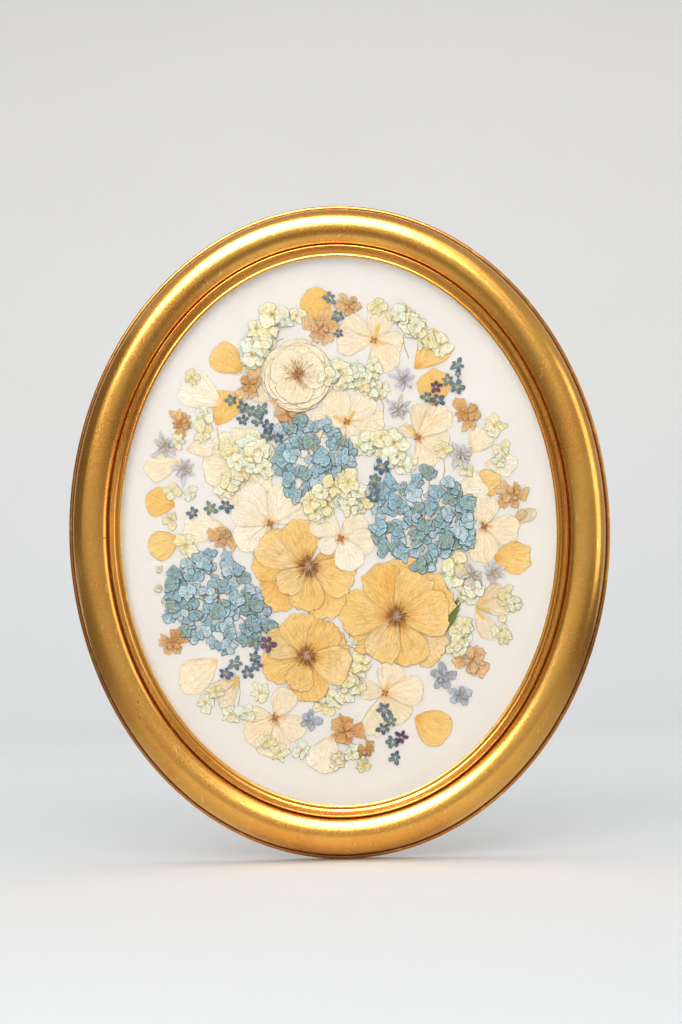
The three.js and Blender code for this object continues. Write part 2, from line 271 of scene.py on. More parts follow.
goldLook = {
    "leaf": tint(240, 184, 92),
    "warmLeaf": tint(230, 165, 80),
    "fleck": tint(255, 226, 150),
    "bole": tint(172, 94, 48),
    # painted shade: the brown that the cove's leaf is darkened towards
    "cove": tint(190, 130, 64),
    # the dark colour that the grooves, the opened joint and the pits are mixed towards
    "groove": tint(92, 50, 20),
    "wood": tint(206, 178, 138),
    "darkWood": tint(170, 136, 96),
    "driftScale": 16,
    "speckScale": 620,
    "scratchScale": 260,
    "wearScale": 90,
    "grooveDarkScale": 140,
    "wanderScale": 300,
    "pitScale": 190,
    "dentScale": 70,
    "grainScale": 30,
    "specks": 0.35,
    "scratches": 0.6,
    "rubbedBand": 0.6,
    "rubbedRidge": 0.35,
    "coveShade": 0.6,
    "grooveDarkening": {"inner": (0.8, 0.85), "outer": (0.8, 0.9), "quirk": (0.45, 0.5)},  # reach, strength
    "crackBelow": 3.4,
    "crackWander": 2.4,
    "woodBelow": 6.5,
    "woodFade": 1.9,
    "roughness": 0.24,
    "relief": 0.12,
}


def goldLeaf():
    finish, tree, shader = startFinish("gold_leaf")
    look, middles = goldLook, mouldingMiddles
    place = objectPlace(tree)
    out = measureOn(tree, "out")
    x, y, z = axesOf(tree, place)
    height = y * (-1 / mm)

    drift = noiseOn(tree, place, look["driftScale"], 3.0)
    speck = noiseOn(tree, place, look["speckScale"], 2.0, 0.6)
    scratch = noiseOn(tree, objectPlace(tree, (1, 1, 0.25)), look["scratchScale"])
    leaf = mixColours(tree, drift.ease(0.35, 0.68), look["leaf"], look["warmLeaf"])
    leaf = mixColours(tree, speck.ease(0.56, 0.72) * look["specks"], leaf, look["bole"])
    leaf = mixColours(tree, scratch.ease(0.66, 0.74) * look["scratches"], leaf, look["fleck"])

    # the red clay shows where the leaf is rubbed through: on the outer band and on the ridge
    rubbed = out.ease(middles["outer"] - 0.2, middles["outer"] + 0.6) * look["rubbedBand"]
    ridge = abs(out - middles["ridge"]).ease(0.9, 0.3) * look["rubbedRidge"]
    worn = rubbed.orMore(ridge) * noiseOn(tree, place, look["wearScale"], 4.0, 0.65).ease(0.28, 0.5)
    leaf = mixColours(tree, worn, leaf, look["bole"])

    # painted shade: the leaf in the cove is darkened towards brown, standing for the dark room that it
    # reflects
    coveShadeMask = abs(out - middles["cove"]).ease(3.4, 2.2) * look["coveShade"]
    leaf = mixColours(tree, coveShadeMask, leaf, look["cove"])

    # darker in the grooves
    inner, outer, quirk = (abs(out - middles[name]).ease(reach, reach * 0.35) * strength
                           for name, (reach, strength) in look["grooveDarkening"].items())
    darkMarks = inner.orMore(outer).orMore(quirk)
    darkMarks = darkMarks * noiseOn(tree, place, look["grooveDarkScale"]).ease(0.2, 0.42) * height.ease(10, 12)

    # the joint at the left side has opened a little beside the inner groove
    wander = noiseOn(tree, place, look["wanderScale"]) * look["crackWander"]
    level = z / mm - (ovalMiddle - look["crackBelow"]) + wander - look["crackWander"] / 2
    crack = abs(level).ease(0.55, 0.2) * abs(out - middles["joint"]).ease(3.4, 2.4) * (x < 0.0)
    pits = noiseOn(tree, place, look["pitScale"], 1.0).ease(0.79, 0.81) * height.ease(18, 21)
    darkMarks = darkMarks.orMore(crack).orMore(pits)
    gilt = mixColours(tree, darkMarks, leaf, look["groove"])

    # the wood is bare on the back and in the rebate
    grain = noiseOn(tree, objectPlace(tree, (1, 1, 14)), look["grainScale"], 4.0, 0.6)
    timber = mixColours(tree, grain.ease(0.35, 0.65), look["wood"], look["darkWood"])
    inRebate = (out < mouldingSizes["rebateWidth"] + 0.2) * (height < mouldingSizes["lipBack"] + 0.3)
    bare = height.ease(look["woodBelow"], look["woodBelow"] - look["woodFade"]).orMore(inRebate)
    feed(shader, "Base Color", mixColours(tree, bare, gilt, timber))
    feed(shader, "Metallic", (1 - bare) * (1 - darkMarks * 0.8))
    feed(shader, "Roughness", (look["roughness"] + (speck - 0.5) * 0.22 + (drift - 0.5) * 0.12
                               + darkMarks * 0.35 + bare * 0.45))
    relief = (speck * 0.3 + scratch * 0.3 + noiseOn(tree, place, look["dentScale"]) * 1.1
              - darkMarks * 0.6 + grain * bare * 0.8)
    feed(shader, "Normal", raiseRelief(tree, relief, look["relief"], 0.8))
    return finish


def clearGlass():
    return startFinish("clear_glass", Base_Color=(1.0, 1.0, 1.0, 1.0), Roughness=0.0, IOR=1.5, Alpha=0.12,
                       Transmission_Weight=1.0)[0]


boardLooks = {
    "mat_paper": {
        "plain": tint(232, 227, 220), "cloudy": tint(228, 223, 216), "fleck": tint(220, 210, 200),
        "cloudScale": 9, "cloudDetail": 2.0, "clouds": 0.5, "fleckScale": 900, "fleckRoughness": 0.65,
        "fleckFrom": 0.55, "fleckTo": 0.75, "flecks": 0.35, "relief": 0.05, "strength": 0.5,
        "roughness": 0.95, "specular": 0.0},
    "hardboard": {
        "plain": tint(139, 100, 66), "cloudy": tint(118, 82, 53), "fleck": tint(84, 57, 38),
        "cloudScale": 14, "cloudDetail": 3.0, "clouds": 1.0, "fleckScale": 420, "fleckRoughness": 0.7,
        "fleckFrom": 0.52, "fleckTo": 0.7, "flecks": 0.7, "relief": 0.2, "strength": 0.7,
        "roughness": 0.8, "specular": 0.5},
}


def boardFinish(name):
    look = boardLooks[name]
    finish, tree, shader = startFinish(name, Roughness=look["roughness"], Specular_IOR_Level=look["specular"])
    place = objectPlace(tree)
    fleck = noiseOn(tree, place, look["fleckScale"], 3.0, look["fleckRoughness"])
    cloud = noiseOn(tree, place, look["cloudScale"], look["cloudDetail"])
    ground = mixColours(tree, cloud.ease(0.3, 0.7) * look["clouds"], look["plain"], look["cloudy"])
    flecks = fleck.ease(look["fleckFrom"], look["fleckTo"]) * look["flecks"]
    feed(shader, "Base Color", mixColours(tree, flecks, ground, look["fleck"]))
    feed(shader, "Normal", raiseRelief(tree, fleck, look["relief"], look["strength"]))
    return finish


metalLooks = {
    "brass_plate": {"light": tint(206, 180, 122), "dark": tint(176, 148, 94), "roughness": 0.34},
    "dull_steel": {"light": tint(176, 176, 172), "dark": tint(128, 127, 123), "roughness": 0.42},
}
metalGrain = {"patchScale": 130, "scratchScale": 1400, "scratchStretch": (0.2, 1, 1), "relief": 0.04}


def plainMetal(name):
    look = metalLooks[name]
    finish, tree, shader = startFinish(name, Metallic=1.0)
    patch = noiseOn(tree, objectPlace(tree), metalGrain["patchScale"], 3.0)
    scratch = noiseOn(tree, objectPlace(tree, metalGrain["scratchStretch"]), metalGrain["scratchScale"])
    feed(shader, "Base Color", mixColours(tree, patch.ease(0.4, 0.65), look["light"], look["dark"]))
    feed(shader, "Roughness", look["roughness"] + (patch - 0.5) * 0.3)
    feed(shader, "Normal", raiseRelief(tree, scratch, metalGrain["relief"], 0.6))
    return finish


rubberLook = {"clean": tint(44, 43, 41), "dusty": tint(74, 72, 68), "dustScale": 160, "grainScale": 1500,
              "roughness": 0.62, "relief": 0.04}


def blackRubber():
    look = rubberLook
    finish, tree, shader = startFinish("black_rubber")
    place = objectPlace(tree)
    dust = noiseOn(tree, place, look["dustScale"], 3.0)
    grain = noiseOn(tree, place, look["grainScale"])
    feed(shader, "Base Color", mixColours(tree, dust.ease(0.45, 0.75), look["clean"], look["dusty"]))
    feed(shader, "Roughness", look["roughness"] + dust * 0.3)
    feed(shader, "Normal", raiseRelief(tree, grain, look["relief"], 0.5))
    return finish


# A dried petal is dull where its tone is 0, plain at a half and faded at 1. It has a darker heart, veins that
# radiate from its base, creases painted darker as shade, a painted pale band as highlight inside its edge,
# and a thin dark outline that is partly browned edge and partly painted shadow.
petalLooks = {
    "rose": {
        "heart": tint(204, 134, 52), "dull": tint(240, 184, 94), "plain": tint(245, 206, 132),
        "faded": tint(242, 216, 170), "vein": tint(190, 130, 56), "outline": tint(104, 62, 24),
        "heartReach": 0.42, "veins": 14, "creaseScale": 100, "crease": 0.58, "blotch": 0.6,
        "outlineWidth": 0.55, "outlineShadeStrength": 0.95, "relief": 4.6},
    "yellow": {
        "heart": tint(226, 162, 74), "dull": tint(241, 188, 98), "plain": tint(245, 200, 118),
        "faded": tint(247, 212, 142), "vein": tint(206, 150, 72), "outline": tint(140, 90, 38),
        "heartReach": 0.34, "veins": 13, "creaseScale": 90, "crease": 0.5, "blotch": 0.4,
        "outlineWidth": 0.5, "outlineShadeStrength": 0.85, "relief": 4.0},
    "cream": {
        "heart": tint(238, 196, 132), "dull": tint(244, 220, 180), "plain": tint(248, 233, 202),
        "faded": tint(250, 242, 224), "vein": tint(216, 176, 122), "outline": tint(184, 138, 94),
        "heartReach": 0.26, "veins": 13, "creaseScale": 110, "crease": 0.5, "blotch": 0.6,
        "outlineWidth": 0.55, "outlineShadeStrength": 0.75, "relief": 4.0},
    "creamRose": {
        "heart": tint(220, 170, 108), "dull": tint(243, 224, 180), "plain": tint(249, 237, 205),
        "faded": tint(250, 243, 222), "vein": tint(200, 164, 108), "outline": tint(158, 118, 72),
        "heartReach": 0.3, "veins": 22, "creaseScale": 120, "crease": 0.65, "blotch": 0.5,
        "outlineWidth": 0.75, "outlineShadeStrength": 0.9, "relief": 3.2},
    "palePetal": {
        "heart": tint(214, 188, 104), "dull": tint(244, 233, 180), "plain": tint(250, 246, 216),
        "faded": tint(238, 248, 230), "vein": tint(184, 162, 104), "outline": tint(144, 120, 72),
        "heartReach": 0.3, "veins": 6, "creaseScale": 190, "crease": 0.75, "blotch": 0.7,
        "outlineWidth": 0.75, "outlineShadeStrength": 0.95, "relief": 2.4},
    "bluePetal": {
        "heart": tint(206, 206, 160), "dull": tint(156, 180, 168), "plain": tint(162, 199, 214),
        "faded": tint(210, 230, 238), "vein": tint(74, 102, 118), "outline": tint(46, 38, 26),
        "heartReach": 0.25, "veins": 6, "creaseScale": 190, "crease": 0.75, "blotch": 0.9,
        "outlineWidth": 0.92, "outlineShadeStrength": 1.0, "relief": 3.2},
    "star": {
        "heart": tint(206, 200, 160), "dull": tint(136, 156, 148), "plain": tint(108, 138, 150),
        "faded": tint(88, 114, 146), "vein": tint(36, 48, 56), "outline": tint(24, 30, 36),
        "heartReach": 0.6, "veins": 5, "creaseScale": 260, "crease": 0.5, "blotch": 0.8,
        "outlineWidth": 0.5, "outlineShadeStrength": 0.85, "relief": 1.2},
    "plum": {
        "heart": tint(176, 150, 120), "dull": tint(128, 100, 116), "plain": tint(116, 88, 112),
        "faded": tint(92, 72, 104), "vein": tint(72, 50, 70), "outline": tint(52, 36, 48),
        "heartReach": 0.35, "veins": 5, "creaseScale": 260, "crease": 0.5, "blotch": 0.6,
        "outlineWidth": 0.5, "outlineShadeStrength": 0.8, "relief": 1.2},
    "lavender": {
        "heart": tint(196, 174, 126), "dull": tint(218, 204, 188), "plain": tint(218, 212, 212),
        "faded": tint(214, 218, 230), "vein": tint(140, 128, 128), "outline": tint(104, 94, 98),
        "heartReach": 0.75, "veins": 6, "creaseScale": 200, "crease": 0.55, "blotch": 0.9,
        "outlineWidth": 0.5, "outlineShadeStrength": 0.8, "relief": 1.4},
    "skyBlue": {
        "heart": tint(184, 166, 126), "dull": tint(178, 180, 184), "plain": tint(184, 194, 212),
        "faded": tint(206, 214, 226), "vein": tint(122, 118, 128), "outline": tint(84, 80, 84),
        "heartReach": 0.5, "veins": 7, "creaseScale": 200, "crease": 0.6, "blotch": 0.8,
        "outlineWidth": 0.6, "outlineShadeStrength": 0.85, "relief": 2.4},
    "amber": {
        "heart": tint(202, 140, 80), "dull": tint(232, 172, 106), "plain": tint(242, 195, 134),
        "faded": tint(244, 210, 160), "vein": tint(170, 112, 62), "outline": tint(128, 80, 44),
        "heartReach": 0.36, "veins": 10, "creaseScale": 220, "crease": 0.9, "blotch": 1.1,
        "outlineWidth": 0.6, "outlineShadeStrength": 0.9, "relief": 3.0},
    "leaf": {
        "heart": tint(92, 112, 52), "dull": tint(70, 92, 42), "plain": tint(82, 106, 52),
        "faded": tint(104, 124, 66), "vein": tint(124, 136, 78), "outline": tint(48, 58, 32),
        "heartReach": 0.3, "veins": 9, "creaseScale": 200, "crease": 0.4, "blotch": 0.5,
        "outlineWidth": 0.4, "outlineShadeStrength": 0.6, "relief": 1.0},
}


# Shared by every look: how far the creases reach and how strongly their painted shade marks.
petalPattern = {"fanAlong": 1.6, "fanAcross": 0.8, "ringsAlong": 6.0, "ringsAcross": 2.4, "fineScale": 2.6,
                "cloudScale": 0.35, "veinWidth": 0.05, "foldWidth": 0.045, "folds": 0.6, "crackShade": 0.35,
                "edgeHighlight": 0.35, "heart": 0.9, "roughness": 0.66, "specular": 0.06}


def driedPetal(name):
    look, pattern = petalLooks[name], petalPattern
    finish, tree, shader = startFinish("dried_" + name, Specular_IOR_Level=pattern["specular"])
    place = objectPlace(tree)
    along, across, _ = axesOf(tree, Wire.add(tree, "ShaderNodeUVMap", {"uv_map": "petal"}, {}))
    rimShadeDistance = measureOn(tree, "rimShadeDistance")
    tone = measureOn(tree, "tone")

    def spreadOn(alongScale, acrossScale, shift):
        return Wire.add(tree, "ShaderNodeCombineXYZ", {},
                        {"X": along * alongScale, "Y": across * acrossScale, "Z": tone * 60.0 + shift})

    # folds are sharp where a cloud passes through its middle, as in creased paper
    scale = look["creaseScale"]
    fan = noiseOn(tree, spreadOn(pattern["fanAlong"], look["veins"] * pattern["fanAcross"], 0.0),
                  1.0, 3.0, 0.6, 0.3)
    rings = noiseOn(tree, spreadOn(pattern["ringsAlong"], pattern["ringsAcross"], 9.0), 1.0, 2.0, 0.5, 0.5)
    web = noiseOn(tree, place, scale, 3.0, 0.55, 0.5)
    fine = noiseOn(tree, place, scale * pattern["fineScale"], 3.0, 0.6)
    cloud = noiseOn(tree, place, scale * pattern["cloudScale"], 3.0, 0.55)
    fanFold, ringFold, webFold = (abs(noise - 0.5) for noise in (fan, rings, web))
    veins = fanFold.ease(pattern["veinWidth"], 0.0) * along.ease(1.0, 0.5)
    folds = ringFold.ease(pattern["foldWidth"], 0.0) * cloud.ease(0.42, 0.56) * along.ease(0.25, 0.5)
    crackShade = webFold.ease(pattern["foldWidth"], 0.0) * fine.ease(0.4, 0.55)

    age = tone + (cloud - 0.5) * look["blotch"] * 2.0 + (fine - 0.5) * look["blotch"]
    colour = mixColours(tree, age.ease(0.0, 0.5), look["dull"], look["plain"])
    colour = mixColours(tree, age.ease(0.5, 1.0), colour, look["faded"])
    width = look["outlineWidth"]
    # painted highlight: a paler band just inside the outline, nearest the edge on a petal's upper side
    edgeHighlight = abs(rimShadeDistance - width * 2.2).ease(width * 1.3, 0.0)
    colour = mixColours(tree, edgeHighlight * pattern["edgeHighlight"], colour, look["faded"])
    streaked = along + (fan - 0.5) * 0.5
    heart = streaked.ease(look["heartReach"], 0.02) * pattern["heart"]
    colour = mixColours(tree, heart, colour, look["heart"])
    # painted shade: folds and cracks are darkened in colour towards the vein tint; the veins themselves are
    # the petal's own
    veinsAndCreaseShade = veins.orMore(folds * pattern["folds"]).orMore(crackShade * pattern["crackShade"])
    colour = mixColours(tree, veinsAndCreaseShade * look["crease"], colour, look["vein"])
    # painted shadow in part: the dark outline stands for browned edges and for the shade under lower edges
    # and between overlapping petals
    outline = rimShadeDistance.ease(width, width * 0.3) * fine.ease(0.25, 0.5)
    feed(shader, "Base Color", mixColours(tree, outline * look["outlineShadeStrength"], colour, look["outline"]))
    feed(shader, "Roughness", pattern["roughness"] + fine * 0.2)
    relief = fanFold * 1.3 * along + ringFold * 0.5 * along + webFold * 0.4 + (fine - 0.5) * 0.1
    feed(shader, "Normal", raiseRelief(tree, relief, look["relief"], 0.9))
    return finish


def speckled(name, light, dark, scale):
    # stamens, stalks and eyes
    finish, tree, shader = startFinish(name, Roughness=0.75, Specular_IOR_Level=0.25)
    fleck = noiseOn(tree, objectPlace(tree), scale, 3.0, 0.65)
    feed(shader, "Base Color", mixColours(tree, fleck.ease(0.4, 0.62), light, dark))
    feed(shader, "Normal", raiseRelief(tree, fleck, 0.1, 0.7))
    return finish


# The moulding: one section drawn round the oval. Out is measured from the sight edge.
mouldingSizes = {
    "around": 288,
    "width": 49,
    "rebateWidth": 6.4,
    "lipBack": mouldingBack + 19,
    "bead": (1.8, 1.0, 1.8, 1.5),
    "coveOut": 3.9,
    "coveFoot": 1.6,
    "coveWide": 4.9,
    "coveRise": 5.2,
    "coveSteps": 7,
    "torusPeakOut": 28.2,
    "torusInnerFoot": 3.3,
    "torusOuterFoot": 12.6,
    "torusSteps": 15,
}
mouldingMiddles = {"quirk": 3.7, "cove": 6.9, "ridge": 9.5, "inner": 10.9, "joint": 12.9, "outer": 45.3}
mouldingCorners = {
    "fillet": [(-0.5, 7.2), (-0.1, 7.35), (0.3, 7.3), (0.7, 6.9), (0.95, 5.2)],
    "groove": [(-0.2, 3.0), (0, 2.8), (0.25, 3.0)],
    "band": [(-0.05, 12.0), (0.1, 12.0), (0.4, 12.9), (1.0, 13.3), (2.0, 13.2), (2.8, 12.7), (3.4, 11.8),
             (3.65, 10.4), (3.7, 9.0)],
    "back": [(48.2, 0.6), (47.6, 0), (6.7, 0), (6.4, 0.3)],
}
sightHalfWidth = mouldingHigh.x / mm - mouldingSizes["width"]
sightHalfHeight = (mouldingHigh.z / mm - ovalMiddle) - mouldingSizes["width"]


def curve(middleOut, middleHeight, reachOut, reachHeight, start, end, steps):
    points = []
    for i in range(steps + 1):
        angle = math.radians(start + (end - start) * i / steps)
        points.append((middleOut + reachOut * math.cos(angle), middleHeight + reachHeight * math.sin(angle)))
    return points


def mouldingSection():
    # from the lip at the sight edge outwards, round the back and into the rebate
    def corners(name, out, height):
        return [(out + x, height + y) for x, y in mouldingCorners[name]]

    sizes, middles = mouldingSizes, mouldingMiddles
    lip, peak, steps = sizes["lipBack"], sizes["torusPeakOut"], sizes["torusSteps"]
    beadOut, beadFoot, beadWide, beadHigh = sizes["bead"]
    bead = curve(beadOut, lip + beadFoot, beadWide, beadHigh, 190, 10, 8)
    coveParts = [i / sizes["coveSteps"] for i in range(sizes["coveSteps"] + 1)]
    cove = [(sizes["coveOut"] + sizes["coveWide"] * t,
             lip + sizes["coveFoot"] + sizes["coveRise"] * (1 - math.cos(t * math.pi / 2)) ** 0.9)
            for t in coveParts]
    fillet = corners("fillet", middles["ridge"], lip)
    groove = corners("groove", middles["inner"], lip)
    innerFoot = lip + sizes["torusInnerFoot"]
    outerFoot = mouldingBack + sizes["torusOuterFoot"]
    rise = curve(peak, innerFoot, peak - middles["inner"] - 0.45, mouldingFront - innerFoot, 180, 90, steps)
    fall = curve(peak, outerFoot, middles["outer"] - peak - 0.3, mouldingFront - outerFoot, 90, 0, steps)[1:]
    band = corners("band", middles["outer"], mouldingBack)
    back = corners("back", 0, mouldingBack) + [(sizes["rebateWidth"], lip), (0.3, lip)]
    return bead + cove + fillet + groove + rise + fall + band + back


def storeOut(piece):
    # how far each point of the moulding lies outside the sight edge
    places = pointsOf(piece.data) / mm
    x, y = places[:, 0], places[:, 2] - ovalMiddle
    out = np.zeros(len(x))
    for _ in range(12):
        wide, high = sightHalfWidth + out, sightHalfHeight + out
        excess = (x / wide) ** 2 + (y / high) ** 2 - 1
        slope = 2 * x ** 2 / wide ** 3 + 2 * y ** 2 / high ** 3
        out = out + excess / slope
    storeOnPoints(piece.data, "out", out)


def makeMoulding():
    section = mouldingSection()
    middle = (0, 0, ovalMiddle * mm)
    deselectAll()
    bpy.ops.mesh.primitive_circle_add(vertices=mouldingSizes["around"], radius=mm,
                                      rotation=(math.pi / 2, 0, 0))
    piece = nameNewest("moulding_finish")
    applyPlace(piece)
    bpy.ops.object.mode_set(mode="EDIT")
    bpy.ops.mesh.select_all(action="SELECT")
    out, height = section[0]
    bpy.ops.transform.resize(value=(sightHalfWidth + out, 1, sightHalfHeight + out),
                             center_override=(0, 0, 0))
    bpy.ops.transform.translate(value=(0, -height * mm, ovalMiddle * mm))
    for nextOut, nextHeight in section[1:] + section[:1]:
        bpy.ops.mesh.extrude_region()
        bpy.ops.transform.resize(
            value=((sightHalfWidth + nextOut) / (sightHalfWidth + out), 1,
                   (sightHalfHeight + nextOut) / (sightHalfHeight + out)), center_override=middle)
        bpy.ops.transform.translate(value=(0, (height - nextHeight) * mm, 0))
        out, height = nextOut, nextHeight
    bpy.ops.mesh.select_all(action="SELECT")
    bpy.ops.mesh.remove_doubles(threshold=1e-5)
    bpy.ops.mesh.normals_make_consistent(inside=False)
    bpy.ops.object.mode_set(mode="OBJECT")
    smoothFaces(piece, 50)
    storeOut(piece)
    return dress(piece, goldLeaf(), "gilded_wood", "gilded_moulding")


hangerNails = {"apart": 25, "reach": 2.4, "dome": 0.9, "plate": 1.45}
bumperCushion = {"edge": 1.0, "around": 48, "edgeSteps": 4}


def makeHangerNails(finish):
    # the heads lie on the hanger's plate, which stands off the back of the moulding
    low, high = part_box("sawtooth_hanger")
    plate = -mouldingBack * mm + hangerNails["plate"] * mm
    for side, name in ((-1, "hanger_nail_left"), (1, "hanger_nail_right")):
        deselectAll()
        bpy.ops.mesh.primitive_uv_sphere_add(
            segments=24, ring_count=12, radius=hangerNails["reach"] * mm,
            location=(side * hangerNails["apart"] * mm, plate, (low.z + high.z) / 2),
            rotation=(math.pi / 2, 0, 0))
        nail = nameNewest(name)
        applyPlace(nail)
        bpy.ops.object.mode_set(mode="EDIT")
        bpy.ops.mesh.select_all(action="SELECT")
        flat = hangerNails["dome"] / hangerNails["reach"]
        bpy.ops.transform.resize(value=(1, flat, 1), center_override=(0, plate, 0))
        bpy.ops.mesh.bisect(plane_co=(0, plate, 0), plane_no=(0, -1, 0), use_fill=True, clear_outer=True)
        bpy.ops.object.mode_set(mode="OBJECT")
        smoothFaces(nail, 40)
        dress(nail, finish, "steel_points")


def makeBumpers(finish):
    for side in ("left", "right"):
        node = "wall_bumper_" + side
        low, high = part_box(node)
        deselectAll()
        bpy.ops.mesh.primitive_cylinder_add(
            vertices=bumperCushion["around"], radius=(high.x - low.x) / 2, depth=high.y - low.y,
            location=(low + high) / 2, rotation=(math.pi / 2, 0, 0))
        bumper = nameNewest(node + "_cushion")
        applyPlace(bumper)
        applyModifier(bumper, "BEVEL", width=bumperCushion["edge"] * mm, segments=bumperCushion["edgeSteps"],
                      limit_method="ANGLE", angle_limit=math.radians(40))
        smoothFaces(bumper, 35)
        dress(bumper, finish, "black_rubber", node)


def finishPlainNodes():
    finishes = {"glass_pane": clearGlass(), "mount_board": boardFinish("mat_paper"),
                "glass_spacer": boardFinish("mat_paper"), "backing_board": boardFinish("hardboard"),
                "sawtooth_hanger": plainMetal("brass_plate")}
    steel = plainMetal("dull_steel")
    finishes.update({node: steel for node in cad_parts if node.startswith("retaining_point")})
    for node, finish in finishes.items():
        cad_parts[node].data.materials.clear()
        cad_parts[node].data.materials.append(finish)
    makeHangerNails(steel)
    makeBumpers(blackRubber())


# What lies on the board already is kept as a field of heights, so that each next petal is
# draped over it, as pressed ones are.
laying = {"halfWidth": 206, "halfHeight": 258, "margin": 6, "gap": 0.05, "soften": 2, "thick": 0.13,
          "highest": paneBack - 0.4}
laidHeights = np.full((2 * laying["halfHeight"], 2 * laying["halfWidth"]), boardFront)
petalCount = [0]
sheetMeshes = {}


def pressed(height):
    # a thick stack is squeezed between the board and the pane
    room = laying["highest"] - boardFront
    return boardFront + room * (1 - np.exp(-(height - boardFront) / room))


def restOn(x, y):
    # the height of what lies under each place, softened over a few millimetres
    margin, soften = laying["margin"], laying["soften"]
    column = np.clip(x + laying["halfWidth"], margin, laidHeights.shape[1] - margin - 1)
    row = np.clip(y + laying["halfHeight"], margin, laidHeights.shape[0] - margin - 1)
    left, low = int(column.min()) - margin + 1, int(row.min()) - margin + 1
    window = laidHeights[low:int(row.max()) + margin + 1, left:int(column.max()) + margin + 1]
    moves = [(i, j) for i in range(-soften, soften + 1) for j in range(-soften, soften + 1)]
    top = np.max([np.roll(window, move, (0, 1)) for move in moves], axis=0)
    soft = np.mean([np.roll(top, move, (0, 1)) for move in moves], axis=0)
    column, row = column - left - 0.5, row - low - 0.5
    i, j = row.astype(int), column.astype(int)
    up, right = row - i, column - j
    return (soft[i, j] * (1 - up) * (1 - right) + soft[i + 1, j] * up * (1 - right)
            + soft[i, j + 1] * (1 - up) * right + soft[i + 1, j + 1] * up * right)


def pressDown(mesh, x, y, height):
    # the sheet's own height goes into the field, at its corners, edges and middles
    corners = cornersOf(mesh).reshape(-1, 4)
    picks = [corners[:, [0]], corners, corners[:, [0, 1]], corners[:, [1, 2]]]
    for pick in picks:
        row = (y[pick].mean(axis=1) + laying["halfHeight"]).astype(int)
        column = (x[pick].mean(axis=1) + laying["halfWidth"]).astype(int)
        inside = (row >= 0) & (row < laidHeights.shape[0]) & (column >= 0) & (column < laidHeights.shape[1])
        top = height[pick].mean(axis=1) + laying["thick"]
        np.maximum.at(laidHeights, (row[inside], column[inside]), top[inside])


def wiggle(place, turns, seed):
    # a smooth seeded wave between about -1 and 1
    draw = random.Random(seed)
    total = 0
    for octave in (1.0, 1.9, 3.3):
        total = total + np.sin(place * turns * octave + draw.uniform(0, 6.28)) / octave
    return total / 1.6


def petalSheet(rows, columns):
    if (rows, columns) not in sheetMeshes:
        deselectAll()
        bpy.ops.mesh.primitive_grid_add(x_subdivisions=rows, y_subdivisions=columns, size=2)
        grid = bpy.context.active_object
        sheetMeshes[(rows, columns)] = grid.data
        bpy.data.objects.remove(grid)
    return newPiece("petal", sheetMeshes[(rows, columns)].copy())


petalShape = {
    "rows": 14, "columns": 20, "spread": 40, "fullness": 3.2, "point": 0.0, "notch": 0.0, "corners": 9,
    "facets": 0.05, "ruffle": 0.02, "ruffles": 14.0, "pleat": 0.25, "pleats": 9.0, "curl": 0.35,
    "crumple": 0.45, "foldSize": 9.0, "tilt": 0.0, "stalk": 0.05, "sway": 3.0, "tone": None,
}


def cornered(across, corners, reaches, spread):
    # how far out an outline lies that runs straight from corner to corner
    after = np.clip(np.searchsorted(corners, across, side="right"), 1, len(corners) - 1)
    start, end = np.array(corners)[after - 1], np.array(corners)[after]
    first, second = np.array(reaches)[after - 1], np.array(reaches)[after]
    gone, left = np.radians(spread) * (across - start), np.radians(spread) * (end - across)
    return first * second * np.sin(gone + left) / (first * np.sin(gone) + second * np.sin(left))


def crumpled(x, y, size, seed):
    # sharp folds that cross each other, between 0 and 1
    draw = random.Random(seed)
    total = 0
    for octave in (1.0, 1.6, 2.7):
        turn = draw.uniform(0, math.pi)
        across = (x * math.cos(turn) + y * math.sin(turn)) * octave / size
        along = (y * math.cos(turn) - x * math.sin(turn)) * octave / size
        wave = across + draw.uniform(0, 1) + 0.25 * np.sin(along * 2.1 + draw.uniform(0, 6.28))
        total = total + abs(2 * (wave % 1.0) - 1) / octave
    return total / 2


